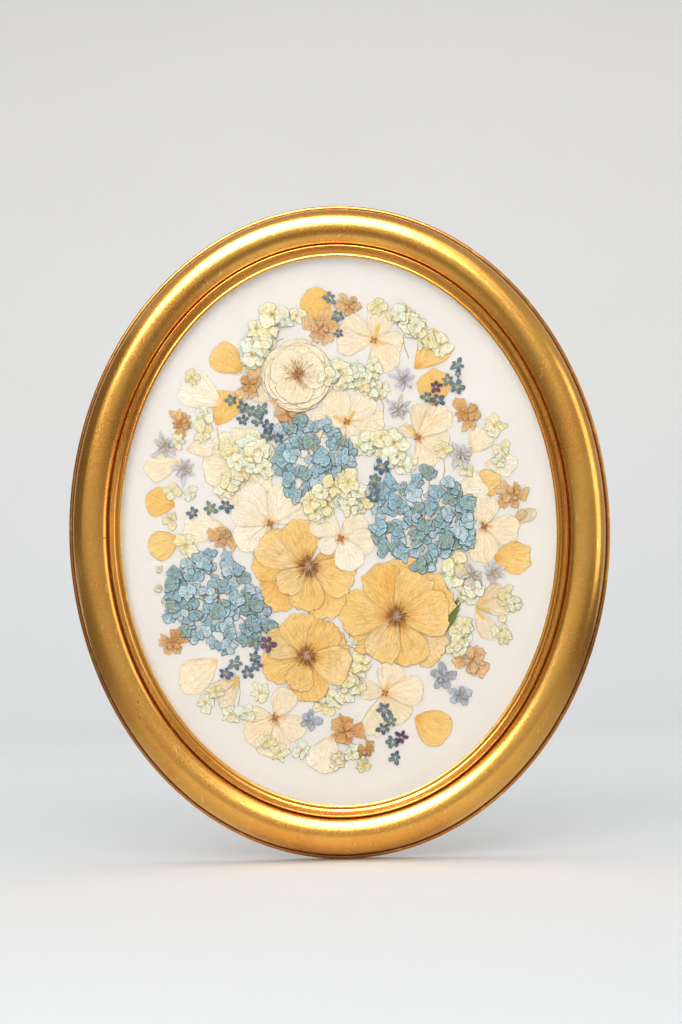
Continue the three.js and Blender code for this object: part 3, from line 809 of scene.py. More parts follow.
def layPetal(x0, y0, direction, reach, **changes):
    # one petal from its base at x0, y0 outwards; the number of the petal is its seed
    shape = {**petalShape, **changes}
    petalCount[0] += 1
    seed = petalCount[0]
    piece = petalSheet(shape["rows"], shape["columns"])
    mesh = piece.data
    places = pointsOf(mesh).astype(float)
    along = (places[:, 0] + 1) / 2
    across = np.sin(places[:, 1] * math.pi / 2) * 0.985
    side = np.abs(across)

    draw = random.Random(seed + 23)
    between = 2 / (shape["corners"] - 1)
    corners = [-1.0] + [-1 + between * (i + draw.uniform(-0.35, 0.35))
                        for i in range(1, shape["corners"] - 1)] + [1.0]
    reaches = [1 + shape["facets"] * draw.uniform(-1, 1) for _ in corners]
    outline = np.sqrt(1 - side ** shape["fullness"])
    outline *= cornered(across, corners, reaches, shape["spread"])
    outline *= 1 + shape["ruffle"] * wiggle(across, shape["ruffles"], seed)
    outline *= 1 - shape["point"] * side
    outline -= shape["notch"] * np.exp(-(across / 0.2) ** 2)
    edge = reach * outline
    away = edge * (shape["stalk"] + (1 - shape["stalk"]) * along)
    angle = np.radians(direction + shape["spread"] * across
                       + shape["sway"] * wiggle(along, 3.0, seed + 17) * along)
    x = x0 + away * np.cos(angle)
    y = y0 + away * np.sin(angle)

    folds = 0.5 + 0.5 * np.sin(across * shape["pleats"] + 2.5 * wiggle(across, 2.0, seed + 7) + 0.8 * along)
    lift = shape["pleat"] * folds * along ** 0.7 * (1 - 0.35 * along)
    lift += shape["crumple"] * crumpled(x, y, shape["foldSize"], seed + 3) * along
    rise = np.clip((along - 0.72) / 0.28, 0, 1)
    lift += shape["curl"] * rise ** 2 * (0.6 + 0.4 * wiggle(across, 5.0, seed + 5))
    lift += shape["tilt"] * (across + 1) / 2 * along
    height = restOn(x, y) + laying["gap"] + np.maximum(lift, 0)

    room = np.stack([x, -pressed(height), ovalMiddle + y], axis=1) * mm
    mesh.vertices.foreach_set("co", room.astype(np.float32).ravel())
    pressDown(mesh, x, y, height)

    while mesh.uv_layers:
        mesh.uv_layers.remove(mesh.uv_layers[0])
    sheetPlace = np.stack([along, (across + 1) / 2], axis=1)[cornersOf(mesh)]
    mesh.uv_layers.new(name="petal").data.foreach_set("uv", sheetPlace.astype(np.float32).ravel())
    # painted shadow: the distance from the edge is stretched on a petal's upper side, so the dark outline is
    # thin there and wide on its lower edges, where shade falls
    rimShadeDistance = (1 - along) * edge * (1 + np.clip(np.sin(angle - 0.5), 0, 1))
    tone = shape["tone"] if shape["tone"] is not None else random.Random(seed + 11).random()
    storeOnPoints(mesh, "rimShadeDistance", rimShadeDistance)
    storeOnPoints(mesh, "tone", np.full(len(rimShadeDistance), tone))
    return piece


def finishPetals(petals, name, finish, slot, *replaced):
    flower = joinPieces(petals, name)
    applyModifier(flower, "SOLIDIFY", thickness=laying["thick"] * mm, offset=1.0, use_even_offset=False)
    smoothFaces(flower, 55)
    return dress(flower, finish, slot, *replaced)


stamenShape = {"length": 5.2, "thick": 0.16, "taper": 0.6, "anther": 0.42, "antherScale": (1.5, 1, 0.7),
               "stout": 0.9, "rise": 0.9, "scatter": 0.8}


def makeStamen():
    # one thread with its anther, lying along +X from the origin, modelled once
    length, thick = stamenShape["length"] * mm, stamenShape["thick"] * mm
    deselectAll()
    bpy.ops.mesh.primitive_cone_add(
        vertices=5, radius1=thick, radius2=thick * stamenShape["taper"], depth=length,
        location=(length / 2, 0, 0), rotation=(0, math.pi / 2, 0))
    thread = bpy.context.active_object
    deselectAll()
    bpy.ops.mesh.primitive_ico_sphere_add(subdivisions=1, radius=stamenShape["anther"] * mm,
                                          location=(length, 0, 0))
    anther = bpy.context.active_object
    anther.scale = stamenShape["antherScale"]
    stamen = joinPieces([thread, anther], "stamen")
    applyPlace(stamen)
    return stamen


def layTuft(name, x, y, reach, count, finish, slot, seed, start=0.0, anther=1.0):
    # stamens that stand out all round from the middle of a flower
    draw = random.Random(seed)
    base = float(restOn(np.array([x]), np.array([y]))[0])
    pattern = makeStamen()
    stout, scatter = stamenShape["stout"] * anther, stamenShape["scatter"]
    threads = []
    for _ in range(count):
        away = (reach - start) * math.sqrt(draw.uniform(0.05, 1.0))
        turn = draw.uniform(0, 2 * math.pi)
        thread = copyPiece(pattern)
        scale = away / stamenShape["length"] + 0.1
        flat = Vector((math.cos(turn), 0, math.sin(turn)))
        rise = stamenShape["rise"] * (1 - away / (reach - start) / 1.15)
        aim = (flat * away + Vector((0, -rise, 0))).normalized()
        thread.rotation_mode = "QUATERNION"
        thread.rotation_quaternion = Vector((1, 0, 0)).rotation_difference(aim)
        thread.scale = (scale, stout, stout)
        thread.location = roomPlace(x + start * math.cos(turn) + draw.uniform(-scatter, scatter),
                                    y + start * math.sin(turn) + draw.uniform(-scatter, scatter),
                                    pressed(base) + 0.3)
        threads.append(thread)
    bpy.data.objects.remove(pattern)
    tuft = joinPieces(threads, name)
    applyPlace(tuft)
    smoothFaces(tuft, 60)
    return dress(tuft, finish, slot)


def layStalks(name, routes, thick, finish, slot):
    # thin round stalks; each route is a list of board places, and the stalk rests on what is there
    stalks = []
    for route in routes:
        points = []
        for (ax, ay), (bx, by) in zip(route, route[1:]):
            for k in range(4):
                points.append((ax + (bx - ax) * k / 4, ay + (by - ay) * k / 4))
        points.append(route[-1])
        xs, ys = np.array(points).T
        heights = restOn(xs, ys) + laying["gap"] + thick / 2
        line = bpy.data.curves.new("stalk", "CURVE")
        line.dimensions = "3D"
        line.bevel_depth = thick / 2 * mm
        line.bevel_resolution = 1
        line.use_fill_caps = True
        spline = line.splines.new("POLY")
        spline.points.add(len(points) - 1)
        for point, px, py, h in zip(spline.points, xs, ys, heights):
            point.co = (*roomPlace(px, py, pressed(h)), 1.0)
            point.radius = 1.0
        stalk = newPiece("stalk", line)
        takeUp(stalk)
        bpy.ops.object.convert(target="MESH")
        stalks.append(stalk)
    piece = joinPieces(stalks, name)
    smoothFaces(piece, 60)
    return dress(piece, finish, slot)


petalFinishes = {name: driedPetal(name) for name in petalLooks}
stamenBrown = speckled("stamen_brown", tint(178, 124, 66), tint(92, 58, 34), 1100)
pistilMauve = speckled("pistil_mauve", tint(228, 198, 166), tint(168, 128, 100), 1200)
eyeOrange = speckled("eye_orange", tint(206, 140, 66), tint(150, 92, 44), 700)
eyeCream = speckled("eye_cream", tint(222, 206, 156), tint(176, 152, 100), 900)
stamenTan = speckled("stamen_tan", tint(214, 164, 108), tint(164, 112, 68), 900)
streakYellow = speckled("streak_yellow", tint(238, 198, 98), tint(224, 176, 74), 500)
stalkOlive = speckled("stalk_olive", tint(206, 176, 124), tint(168, 134, 88), 600)

roseShape = {"rows": 26, "columns": 40, "fullness": 3.6, "corners": 13, "facets": 0.045, "ruffle": 0.018,
             "ruffles": 22.0, "pleat": 0.3, "pleats": 11.0, "crumple": 0.5, "foldSize": 11.0, "curl": 0.5}
# Each tuft is (its reach as a share of the rose's own, threads, finish, seed, start, anther).
roseTufts = {"spikes": (1.6, 26, stamenBrown, 31, 2.5, 1.0), "stamens": (1.2, 70, stamenBrown, 43, 3.0, 1.4),
             "pistils": (0.5, 60, pistilMauve, 57, 0.0, 1.6)}
# Each rose petal is (direction, reach, half its spread), the lowest first.
roses = {
    "yellow_rose_right": {
        "at": (51, -80), "tuft": 7.6,
        "petals": [(205, 48, 34), (78, 54, 34), (28, 55, 36), (316, 55, 30), (174, 52, 36), (108, 49, 34),
                   (61, 46, 34), (289, 46, 34), (245, 44, 34), (1, 49, 38)]},
    "yellow_rose_left": {
        "at": (-28, -33), "tuft": 8.0,
        "petals": [(214, 50, 36), (297, 51, 32), (176, 51, 30), (150, 50, 34), (103, 44, 36), (16, 38, 30),
                   (342, 44, 38), (268, 40, 36), (216, 33, 34)]},
    "yellow_rose_lower": {
        "at": (-31, -114), "tuft": 7.2,
        "petals": [(272, 41, 40), (22, 39, 28), (196, 41, 38), (153, 40, 30), (107, 39, 38), (47, 37, 38),
                   (-16, 42, 38), (250, 32, 36)]},
}


def makeRose(name):
    rose = roses[name]
    x, y = rose["at"]
    petals = [layPetal(x, y, direction, reach, spread=spread * 1.12, tone=0.25 + 0.55 * inTurn(i),
                       **roseShape)
              for i, (direction, reach, spread) in enumerate(rose["petals"])]
    finishPetals(petals, name + "_petals", petalFinishes["rose"], "yellow_petals", name)
    for part, (share, count, finish, seed, start, anther) in roseTufts.items():
        layTuft(f"{name}_{part}", x, y, rose["tuft"] * share, count, finish, "yellow_petals", seed, start,
                anther)


pansyShape = {"rows": 18, "columns": 28, "fullness": 3.0, "corners": 11, "facets": 0.04, "ruffle": 0.02,
              "ruffles": 12.0, "pleat": 0.3, "pleats": 9.0, "crumple": 0.3, "foldSize": 12.0, "curl": 0.3}
streakShape = {"spread": 11, "rows": 6, "columns": 6, "curl": 0.1, "pleat": 0.1}
pansyEye = {"directions": (25, 120, 215, 305), "reach": 3.6,
            "shape": {"spread": 30, "rows": 5, "columns": 7, "curl": 0.5, "pleat": 0.5, "foldSize": 2.0}}
# The petals as on a rose; the eye is where they meet, and a streak is (direction, reach).
pansies = {
    "cream_pansy_left": {"tuft": 7, "tone": 0.85, "at": (-62, 7), "streaks": [],
                         "petals": [(122, 41, 30), (24, 45, 28), (56, 40, 38), (210, 37, 38), (245, 31, 34),
                                    (162, 37, 30)]},
    "cream_pansy_top": {"tone": 0.5, "at": (36, 172), "streaks": [(70, 15), (-18, 12)],
                        "petals": [(149, 33, 38), (184, 35, 32), (70, 31, 40), (-11, 27, 42), (297, 32, 46)]},
    "cream_pansy_upper": {"tone": 0.6, "at": (10, 98), "streaks": [(50, 12), (155, 14)],
                          "petals": [(0, 34, 42), (45, 33, 38), (120, 31, 44), (247, 23, 34), (297, 24, 34),
                                     (180, 34, 38)]},
    "cream_pansy_right": {"tuft": 5, "tone": 0.45, "at": (74, 82), "streaks": [(128, 14)],
                          "petals": [(83, 31, 28), (146, 19, 34), (301, 29, 42), (-11, 30, 38),
                                     (40, 38, 32)]},
    "cream_pansy_lower_right": {"tone": 0.55, "at": (39, -149), "streaks": [(70, 11)],
                                "petals": [(252, 40, 28), (172, 23, 38), (307, 31, 38), (75, 29, 42),
                                           (6, 35, 38)]},
    "cream_pansy_far_right": {"tuft": 6, "tone": 0.5, "at": (132, 0), "streaks": [],
                              "petals": [(-12, 32, 42), (267, 33, 42), (85, 28, 46)]},
    "cream_pansy_bottom": {"tuft": 8, "tone": 0.6, "at": (-61, -169), "streaks": [],
                           "petals": [(265, 37, 42), (180, 30, 40), (222, 33, 34), (-30, 31, 38),
                                      (60, 29, 40)]},
    "cream_pansy_middle": {"tuft": 6, "tone": 0.8, "at": (2, -8), "streaks": [],
                           "petals": [(140, 32, 42), (207, 22, 38), (38, 29, 40), (-9, 31, 38),
                                      (294, 31, 44)]},
}


def makePansy(name):
    pansy = pansies[name]
    x, y = pansy["at"]
    draw = random.Random(name)
    petals = [layPetal(x, y, direction, reach, tone=pansy["tone"] + draw.uniform(-0.14, 0.14),
                       spread=spread * 1.1, **pansyShape)
              for direction, reach, spread in pansy["petals"]]
    finishPetals(petals, name + "_petals", petalFinishes["cream"], "cream_petals", name)
    for i, (direction, reach) in enumerate(pansy["streaks"]):
        streak = layPetal(x, y, direction, reach, **streakShape)
        finishPetals([streak], f"{name}_streak_{i + 1}", streakYellow, "cream_petals")
    if "tuft" in pansy:
        layTuft(name + "_stamens", x, y, pansy["tuft"], 16, eyeOrange, "cream_petals", 11, start=1.0)
    eye = [layPetal(x, y, direction, pansyEye["reach"], **pansyEye["shape"])
           for direction in pansyEye["directions"]]
    finishPetals(eye, name + "_eye", eyeOrange, "cream_petals")


loosePetalShape = {"rows": 20, "columns": 28, "fullness": 3.0, "corners": 9, "facets": 0.07,
                   "ruffle": 0.015, "ruffles": 14.0, "pleat": 0.3, "pleats": 7.0, "crumple": 0.4,
                   "foldSize": 10.0, "curl": 0.3}
notches = {"white_heart_petal": 0.12, "yellow_petal_3": 0.2}
# Each loose petal is (middle x, middle y, length, width, direction of the tip, look).
loosePetals = {
    "yellow_petal_1": (-97, 157, 34, 28, 140, "yellow"), "yellow_petal_2": (-14, 204, 36, 28, 115, "yellow"),
    "yellow_petal_3": (87, 159, 43, 30, 45, "yellow"), "yellow_petal_4": (90, 126, 35, 31, 90, "yellow"),
    "yellow_petal_5": (136, 37, 28, 25, 45, "yellow"), "yellow_petal_6": (80, -179, 35, 33, -30, "yellow"),
    "yellow_petal_7": (-162, 28, 29, 27, 170, "yellow"), "yellow_petal_8": (-159, -9, 29, 27, 200, "yellow"),
    "yellow_petal_9": (-101, 112, 35, 28, 60, "yellow"), "yellow_petal_10": (156, -29, 34, 31, 0, "yellow"),
    "cream_petal_1": (-122, 127, 43, 33, 150, "cream"), "cream_petal_2": (-69, 124, 21, 17, 140, "cream"),
    "cream_petal_3": (-159, 62, 33, 26, 190, "cream"), "cream_petal_4": (-125, 78, 27, 19, 8, "cream"),
    "cream_petal_5": (-120, 4, 41, 27, 180, "cream"), "cream_petal_6": (-128, -127, 42, 31, 215, "cream"),
    "cream_petal_7": (-15, -202, 36, 30, 250, "cream"), "cream_petal_8": (130, 77, 25, 23, 60, "cream"),
    "cream_petal_9": (148, 56, 30, 21, -5, "cream"), "white_heart_petal": (121, 35, 30, 24, 20, "cream"),
}


def makeLoosePetal(name):
    x, y, length, width, direction, look = loosePetals[name]
    spread = math.degrees(math.asin(min(1.0, width / (1.62 * length)))) / 0.68
    turn = math.radians(direction)
    petal = layPetal(x - length / 2 * math.cos(turn), y - length / 2 * math.sin(turn), direction, length,
                     tone=0.5 + 0.4 * inTurn(petalCount[0]), spread=spread, notch=notches.get(name, 0.0),
                     **loosePetalShape)
    finishPetals([petal], name + "_sheet", petalFinishes[look], look + "_petals", name)


fanShape = {"rows": 18, "columns": 26}


def makeFan(name, x, y, petals, look="cream", **changes):
    # the petals of a flower that was pressed on its side, or wide open
    sheets = [layPetal(x, y, direction, reach, spread=spread, **fanShape, **changes)
              for direction, reach, spread in petals]
    finishPetals(sheets, name + "_petals", petalFinishes[look], "cream_petals", name)


clusterShape = {"aside": 6, "underSize": 0.8, "underSpread": 60, "size": (0.95, 1.3), "petals": (3, 4, 4),
                "spread": (50, 62)}
# Each floret is (x, y, reach), the lowest first.
clusters = {
    "pale_hydrangea_on_cream": [
        (-101, 38, 8), (-97, 47, 9), (-87, 54, 9), (-75, 59, 9), (-62, 64, 10), (-66, 57, 8), (-94, 71, 10),
        (-82, 77, 10), (-70, 74, 10), (-90, 63, 8), (-77, 68, 8)],
    "pale_hydrangea_upper_left": [
        (-75, 152, 7), (-75, 161, 9), (-73, 173, 9), (-61, 174, 9), (-71, 185, 8), (-59, 186, 10),
        (-56, 198, 9), (-66, 166, 7)],
    "pale_hydrangea_upper_middle": [
        (43, 128, 9), (31, 127, 8), (36, 143, 9), (26, 137, 9), (15, 143, 10), (4, 145, 9), (-7, 139, 9),
        (10, 133, 7)],
    "pale_hydrangea_upper_right": [
        (97, 166, 9), (86, 171, 9), (77, 179, 9), (69, 189, 9), (59, 194, 8)],
    "pale_hydrangea_centre": [
        (61, 55, 10), (55, 65, 8), (44, 69, 8), (19, 75, 8), (30, 79, 9), (41, 83, 9), (52, 78, 10),
        (47, 60, 8)],
    "pale_hydrangea_lower_middle": [
        (-18, -158, 8), (-7, -153, 8), (4, -148, 8), (15, -143, 9), (12, -131, 9), (19, -122, 9),
        (6, -138, 7)],
    "pale_hydrangea_lower_right": [
        (104, -110, 8), (110, -101, 9), (106, -91, 9), (118, -64, 8), (113, -54, 8), (122, -56, 8),
        (103, -45, 11), (106, -34, 10)],
    "green_hydrangea_centre": [
        (-20, 16, 8), (-9, 22, 9), (21, 24, 8), (5, 30, 9), (18, 33, 9), (-24, 27, 9), (-14, 34, 9),
        (-3, 40, 10), (10, 43, 10), (12, 20, 8)],
}


floretShape = {"rows": 7, "columns": 16, "fullness": 9.0, "point": 0.15, "corners": 6, "facets": 0.3,
               "ruffle": 0.04, "ruffles": 17.0, "pleat": 0.2, "pleats": 6.0, "crumple": 0.3, "foldSize": 5.0,
               "curl": 0.12, "tilt": 0.2, "stalk": 0.08, "sway": 8.0}


def layFloret(x, y, reach, turn, draw, petals, spread, vary=0.18, **changes):
    tone = draw.random()
    shape = {**floretShape, **changes}
    return [layPetal(x, y, turn + k * 360 / petals + draw.uniform(-9, 9),
                     reach * draw.uniform(1 - vary, 1 + vary), spread=spread,
                     tone=min(1.0, max(0.0, tone + draw.uniform(-0.2, 0.2))), **shape)
            for k in range(petals)]


def makeCluster(name):
    draw = random.Random(name)
    petals = []
    shape = clusterShape
    for x, y, reach in clusters[name]:
        # each floret has a smaller one half under it
        turn = draw.uniform(0, 6.28)
        petals += layFloret(x + shape["aside"] * math.cos(turn), y + shape["aside"] * math.sin(turn),
                            reach * shape["underSize"], draw.uniform(0, 360), draw, petals=3,
                            spread=shape["underSpread"])
        petals += layFloret(x, y, reach * draw.uniform(*shape["size"]), draw.uniform(0, 360), draw,
                            petals=draw.choice(shape["petals"]), spread=draw.uniform(*shape["spread"]))
    finishPetals(petals, name + "_florets", petalFinishes["palePetal"], "pale_green_petals", name)


headShape = {"size": (0.8, 1.12), "petals": (3, 3, 4), "spread": (56, 70), "stalk": 0.9, "stalkEvery": 6}
# Each head has its florets by their place from its middle, in the clumps that the press left.
blueHeads = {
    "blue_hydrangea_right": {"at": (77, 8), "reach": 8.2, "florets": [
        (7, 42), (-35, 24), (-30, 31), (-37, 20), (-19, 28), (-8, 25), (-5, 33), (13, 25), (9, 21), (23, 32),
        (29, 27), (25, 18), (31, 19), (40, 13), (-23, 16), (-30, 9), (-41, 6), (-18, 10), (-6, 7), (5, 10),
        (-11, 2), (-5, -2), (3, -6), (16, 5), (23, 3), (18, -3), (35, 3), (40, -3), (34, 10), (-41, -7),
        (-41, -16), (-28, -8), (-21, -6), (-22, -12), (-8, -12), (9, -11), (-22, -20), (-36, -27),
        (-24, -27), (-19, -31), (-5, -18), (3, -17), (22, -16), (21, -22), (28, -22), (40, -24), (34, -13),
        (41, -16), (-5, -27), (8, -30), (0, -40), (7, -35), (18, -29), (-4, -44), (5, -42)]},
    "blue_hydrangea_left": {"at": (-108, -62), "reach": 7.6, "florets": [
        (-20, 40), (-9, 42), (-30, 33), (-30, 26), (-22, 24), (-41, 24), (-9, 29), (6, 36), (6, 25), (16, 26),
        (21, 20), (-44, 15), (-36, 15), (-6, 16), (-21, 10), (3, 12), (11, 13), (-8, 4), (-38, 9), (-30, 7),
        (27, 10), (32, 4), (24, 4), (14, 1), (-44, 4), (-36, -4), (-43, -6), (-28, -2), (-11, -2), (2, -6),
        (8, -7), (-46, -12), (-38, -13), (-22, -13), (-16, -13), (-3, -12), (11, -13), (22, -10), (33, -7),
        (41, -12), (36, -15), (-30, -21), (-2, -20), (6, -23), (27, -20), (43, -23), (33, -24), (24, -26),
        (-8, -23), (-33, -28), (-25, -32), (-17, -29), (8, -31), (17, -34), (32, -32), (-8, -39), (2, -42),
        (8, -42), (22, -37), (8, 32), (-14, 34)]},
    "blue_hydrangea_top": {"at": (-24, 70), "reach": 7.4, "florets": [
        (-8, 31), (-3, 24), (6, 24), (-18, 22), (-12, 15), (-26, 19), (15, 26), (22, 18), (20, 9), (31, 9),
        (35, 2), (-2, 13), (-10, 9), (4, 9), (36, -8), (30, -4), (33, -16), (-22, 3), (-29, -4), (-16, -2),
        (-23, -10), (-28, -13), (2, -5), (10, -4), (14, -11), (22, -6), (8, -15), (17, -19), (25, -18),
        (30, -22), (-6, -19), (-14, -17), (-20, -24), (4, -22), (-18, -33), (-6, -36), (-14, -40),
        (-2, -30), (10, -26)]},
}


def makeBlueHead(name):
    head = blueHeads[name]
    draw = random.Random(name)
    x, y = head["at"]
    places = [(x + dx, y + dy) for dx, dy in head["florets"]]
    routes = [[(x, y - 6), ((x + px) / 2 + 2, (y + py) / 2), (px, py)]
              for px, py in places[::headShape["stalkEvery"]]]
    layStalks(name + "_stalks", routes, headShape["stalk"], stalkOlive, "blue_petals")
    draw.shuffle(places)
    petals = []
    for px, py in places:
        petals += layFloret(px, py, head["reach"] * draw.uniform(*headShape["size"]), draw.uniform(0, 360),
                            draw, petals=draw.choice(headShape["petals"]),
                            spread=draw.uniform(*headShape["spread"]))
    finishPetals(petals, name + "_florets", petalFinishes["bluePetal"], "blue_petals", name)


starShape = {"rows": 5, "columns": 8, "fullness": 2.6, "point": 0.2, "facets": 0.14, "tilt": 0.2,
             "pleat": 0.4, "pleats": 3.0, "crumple": 0.3, "sway": 5.0}
# Each floret is (x, y, reach). Inner is the size of a second ring of petals on the first one.
smallFlorets = {
    "amber_florets": {
        "look": "amber", "slot": "yellow_petals", "petals": 5, "spread": 33, "inner": 0.6,
        "shape": {"rows": 9, "columns": 18, "vary": 0.35, "corners": 7, "point": 0.0, "facets": 0.2,
                  "ruffle": 0.08, "ruffles": 18.0, "pleat": 0.6, "crumple": 0.8, "foldSize": 4.0},
        "places": [
            (-12, 184, 15), (15, 205, 11), (-78, 134, 14), (-44, 107, 15), (-141, 100, 11), (-104, -4, 11),
            (-152, -99, 14), (120, 103, 13), (159, 28, 12), (118, -121, 14), (2, -183, 16), (22, -200, 8)]},
    "pale_florets_loose": {
        "look": "palePetal", "slot": "pale_green_petals", "petals": 4, "spread": 50, "inner": 0.0,
        "shape": {},
        "places": [
            (-45, 193, 8), (-34, 196, 8), (40, 203, 9), (59, 195, 8), (74, 184, 8), (144, 91, 10),
            (97, 71, 8), (113, 62, 9), (151, 69, 8), (147, 59, 8), (118, 51, 7), (-121, 106, 9),
            (-121, 91, 10), (-144, 83, 7), (-151, 39, 8), (-134, 36, 8), (-153, 13, 8), (-139, -12, 10),
            (-164, -33, 4), (-165, -50, 4), (-160, -62, 3), (153, -70, 8), (145, -95, 8), (150, -61, 7),
            (158, -71, 7), (148, -102, 7), (112, -89, 8), (106, -105, 8), (-124, -154, 9), (-101, -165, 9),
            (-87, -165, 9), (-114, -145, 8), (-74, -146, 9), (-69, -191, 9), (-57, -200, 8), (-37, -199, 9),
            (-5, -209, 8), (8, -202, 8), (18, -213, 7), (-4, -206, 6), (11, -103, 5), (-131, 142, 8),
            (25, 130, 7)]},
    "star_florets": {
        "look": "star", "slot": "blue_petals", "petals": 5, "spread": 37, "inner": 0.0, "shape": starShape,
        "places": [
            (-3, 212, 6.5), (4, 179, 4.5), (-95, 120, 6.5), (-85, 114, 6), (-78, 110, 6), (-68, 111, 7),
            (-85, 102, 6), (-71, 101, 6), (-62, 96, 6.5), (-63, 87, 6.5), (-53, 84, 6), (112, 147, 6.5),
            (112, 139, 4), (103, 134, 6), (83, 118, 6), (41, 56, 8), (34, 44, 6), (33, 34, 6), (33, 28, 6),
            (-132, 18, 6), (-116, 22, 7), (-102, 24, 6.5), (-96, -119, 7), (-105, -128, 6.5), (-85, -128, 7),
            (-79, -114, 6), (-77, -122, 6), (-77, -101, 6.5), (38, -164, 7), (44, -174, 6.5),
            (37, -181, 6.5), (45, -193, 6.5), (47, -207, 6.5), (4, 195, 6), (111, 127, 7.5), (93, 116, 6.5)]},
    "plum_florets": {
        "look": "plum", "slot": "blue_petals", "petals": 5, "spread": 37, "inner": 0.0, "shape": starShape,
        "places": [
            (92, 128, 6.5), (-66, -102, 8), (53, -189, 7)]},
    "lavender_florets": {
        "look": "lavender", "slot": "blue_petals", "petals": 7, "spread": 20, "inner": 0.6,
        "shape": {"rows": 8, "columns": 8, "vary": 0.35, "fullness": 2.4, "point": 0.3, "facets": 0.34,
                  "tilt": 0.3, "pleat": 0.5, "crumple": 0.6},
        "places": [
            (63, 136, 14), (57, 108, 14), (113, 66, 14), (-156, 80, 12), (-139, 59, 13), (120, -44, 14),
            (139, -42, 12)]},
    "sky_florets": {
        "look": "skyBlue", "slot": "blue_petals", "petals": 5, "spread": 36, "inner": 0.5,
        "shape": {"rows": 9, "columns": 14, "vary": 0.25, "fullness": 3.0, "facets": 0.16, "tilt": 0.3,
                  "pleat": 0.5},
        "places": [
            (91, -135, 13), (107, -152, 12), (-30, -172, 11)]},
}


def makeSmallFlorets(name):
    florets = smallFlorets[name]
    draw = random.Random(name)
    sheets = []
    for x, y, reach in florets["places"]:
        sheets += layFloret(x, y, reach, draw.uniform(0, 90), draw, petals=florets["petals"],
                            spread=florets["spread"], **florets["shape"])
        if florets["inner"]:
            sheets += layFloret(x, y, reach * florets["inner"], draw.uniform(0, 90), draw,
                                petals=florets["petals"] - 1, spread=florets["spread"], **florets["shape"])
    finishPetals(sheets, name, petalFinishes[florets["look"]], florets["slot"])


smallPetalShape = {"rows": 12, "columns": 36, "fullness": 2.6, "facets": 0.07}
# Each small petal is (x, y, direction, reach, half its spread, look, slot).
smallPetals = {
    "small_petal_right": (162, 1, 40, 20, 34, "cream", "cream_petals"),
    "small_petal_base": (160, 3, 50, 14, 34, "rose", "yellow_petals"),
    "small_petal_pale": (98, -42, 68, 25, 34, "palePetal", "pale_green_petals"),
    "small_petal_green": (142, -76, -60, 13, 34, "palePetal", "pale_green_petals"),
    "small_petal_sliver": (-94, 143, 25, 22, 13, "palePetal", "pale_green_petals"),
    "small_petal_oval": (16, 122, 45, 25, 30, "palePetal", "pale_green_petals"),
}
leafTip = (88, -102, 62, 42, 17, "leaf", "pale_green_petals")
fineStems = [
    [(63, 176), (64, 166), (68, 154)], [(97, 61), (98, 52), (96, 43)],
    [(-93, -135), (-92, -146), (-94, -157)],
    [(54, 23), (60, 14), (63, 5)], [(-46, 176), (-55, 173), (-67, 166)], [(-108, 74), (-107, 84), (-109, 96)],
    [(132, -28), (136, -36), (134, -46)], [(40, 120), (44, 112), (43, 104)]]


def makeSmallPetal(name, place, **changes):
    x, y, direction, reach, spread, look, slot = place
    petal = layPetal(x, y, direction, reach, spread=spread, **smallPetalShape, **changes)
    finishPetals([petal], name, petalFinishes[look], slot)


def makeSmallPetals():
    for name, place in smallPetals.items():
        makeSmallPetal(name, place)
    layStalks("fine_stems", fineStems, 0.65, stalkOlive, "pale_green_petals")


floretEye = {"reach": 1.0, "flat": 0.35, "around": 10, "rings": 6, "above": 0.1}


def layEyes(name, places, finish, slot):
    # small domes at the middles of the florets; one is modelled and copied
    deselectAll()
    bpy.ops.mesh.primitive_uv_sphere_add(segments=floretEye["around"], ring_count=floretEye["rings"],
                                         radius=floretEye["reach"] * mm)
    dome = bpy.context.active_object
    dome.scale = (1, floretEye["flat"], 1)
    applyPlace(dome)
    eyes = []
    for x, y, _ in places:
        eye = copyPiece(dome)
        top = float(restOn(np.array([x]), np.array([y]))[0])
        eye.location = roomPlace(x, y, pressed(top) + floretEye["above"])
        eyes.append(eye)
    bpy.data.objects.remove(dome)
    piece = joinPieces(eyes, name)
    applyPlace(piece)
    smoothFaces(piece, 60)
    return dress(piece, finish, slot)


openFlower = {"at": (-88, 60), "petals": [(20, 36, 52), (130, 35, 52), (250, 35, 52), (75, 36, 50),
                                           (185, 36, 52), (310, 34, 50)]}
stripeShape = {"spread": 7, "rows": 8, "columns": 6, "pleat": 0.1, "curl": 0.1}
trumpets = {
    "cream_trumpet_right": {"at": (122, -74), "petals": [(42, 31, 20), (-62, 31, 30), (5, 34, 26)],
                            "stripes": (34, -8, -52)},
    "cream_trumpet_left": {"at": (-92, -131), "petals": [(172, 12, 24), (240, 33, 22), (205, 27, 22)],
                           "stripes": (238, 206)},
}


def makeLowPieces():
    makeFan("cream_open_flower", *openFlower["at"], openFlower["petals"], look="creamRose", tone=0.6,
            pleat=0.2, ruffle=0.03)
    makeSmallPetals()
    for name in loosePetals:
        if name != "yellow_petal_10":
            makeLoosePetal(name)
    for name, trumpet in trumpets.items():
        makeFan(name, *trumpet["at"], trumpet["petals"])
    for name, trumpet in trumpets.items():
        stripes = [layPetal(*trumpet["at"], direction, 14, **stripeShape) for direction in trumpet["stripes"]]
        finishPetals(stripes, name + "_stripes", streakYellow, "cream_petals")
    print("loose petals laid,", petalCount[0], "petals so far")


# The rings of the cream rose are (reach, petals, half their spread), from the outside in.
creamRose = {
    "at": (-34, 141), "middle": (-33, 142), "turn": 35,
    "rings": [(34, 4, 66), (32.5, 3, 70), (31, 3, 66), (28.5, 3, 70), (26, 3, 74)],
    "shape": {"rows": 18, "columns": 30, "fullness": 4.0, "facets": 0.03, "pleat": 0.25, "curl": 0.4,
              "ruffle": 0.015},
}


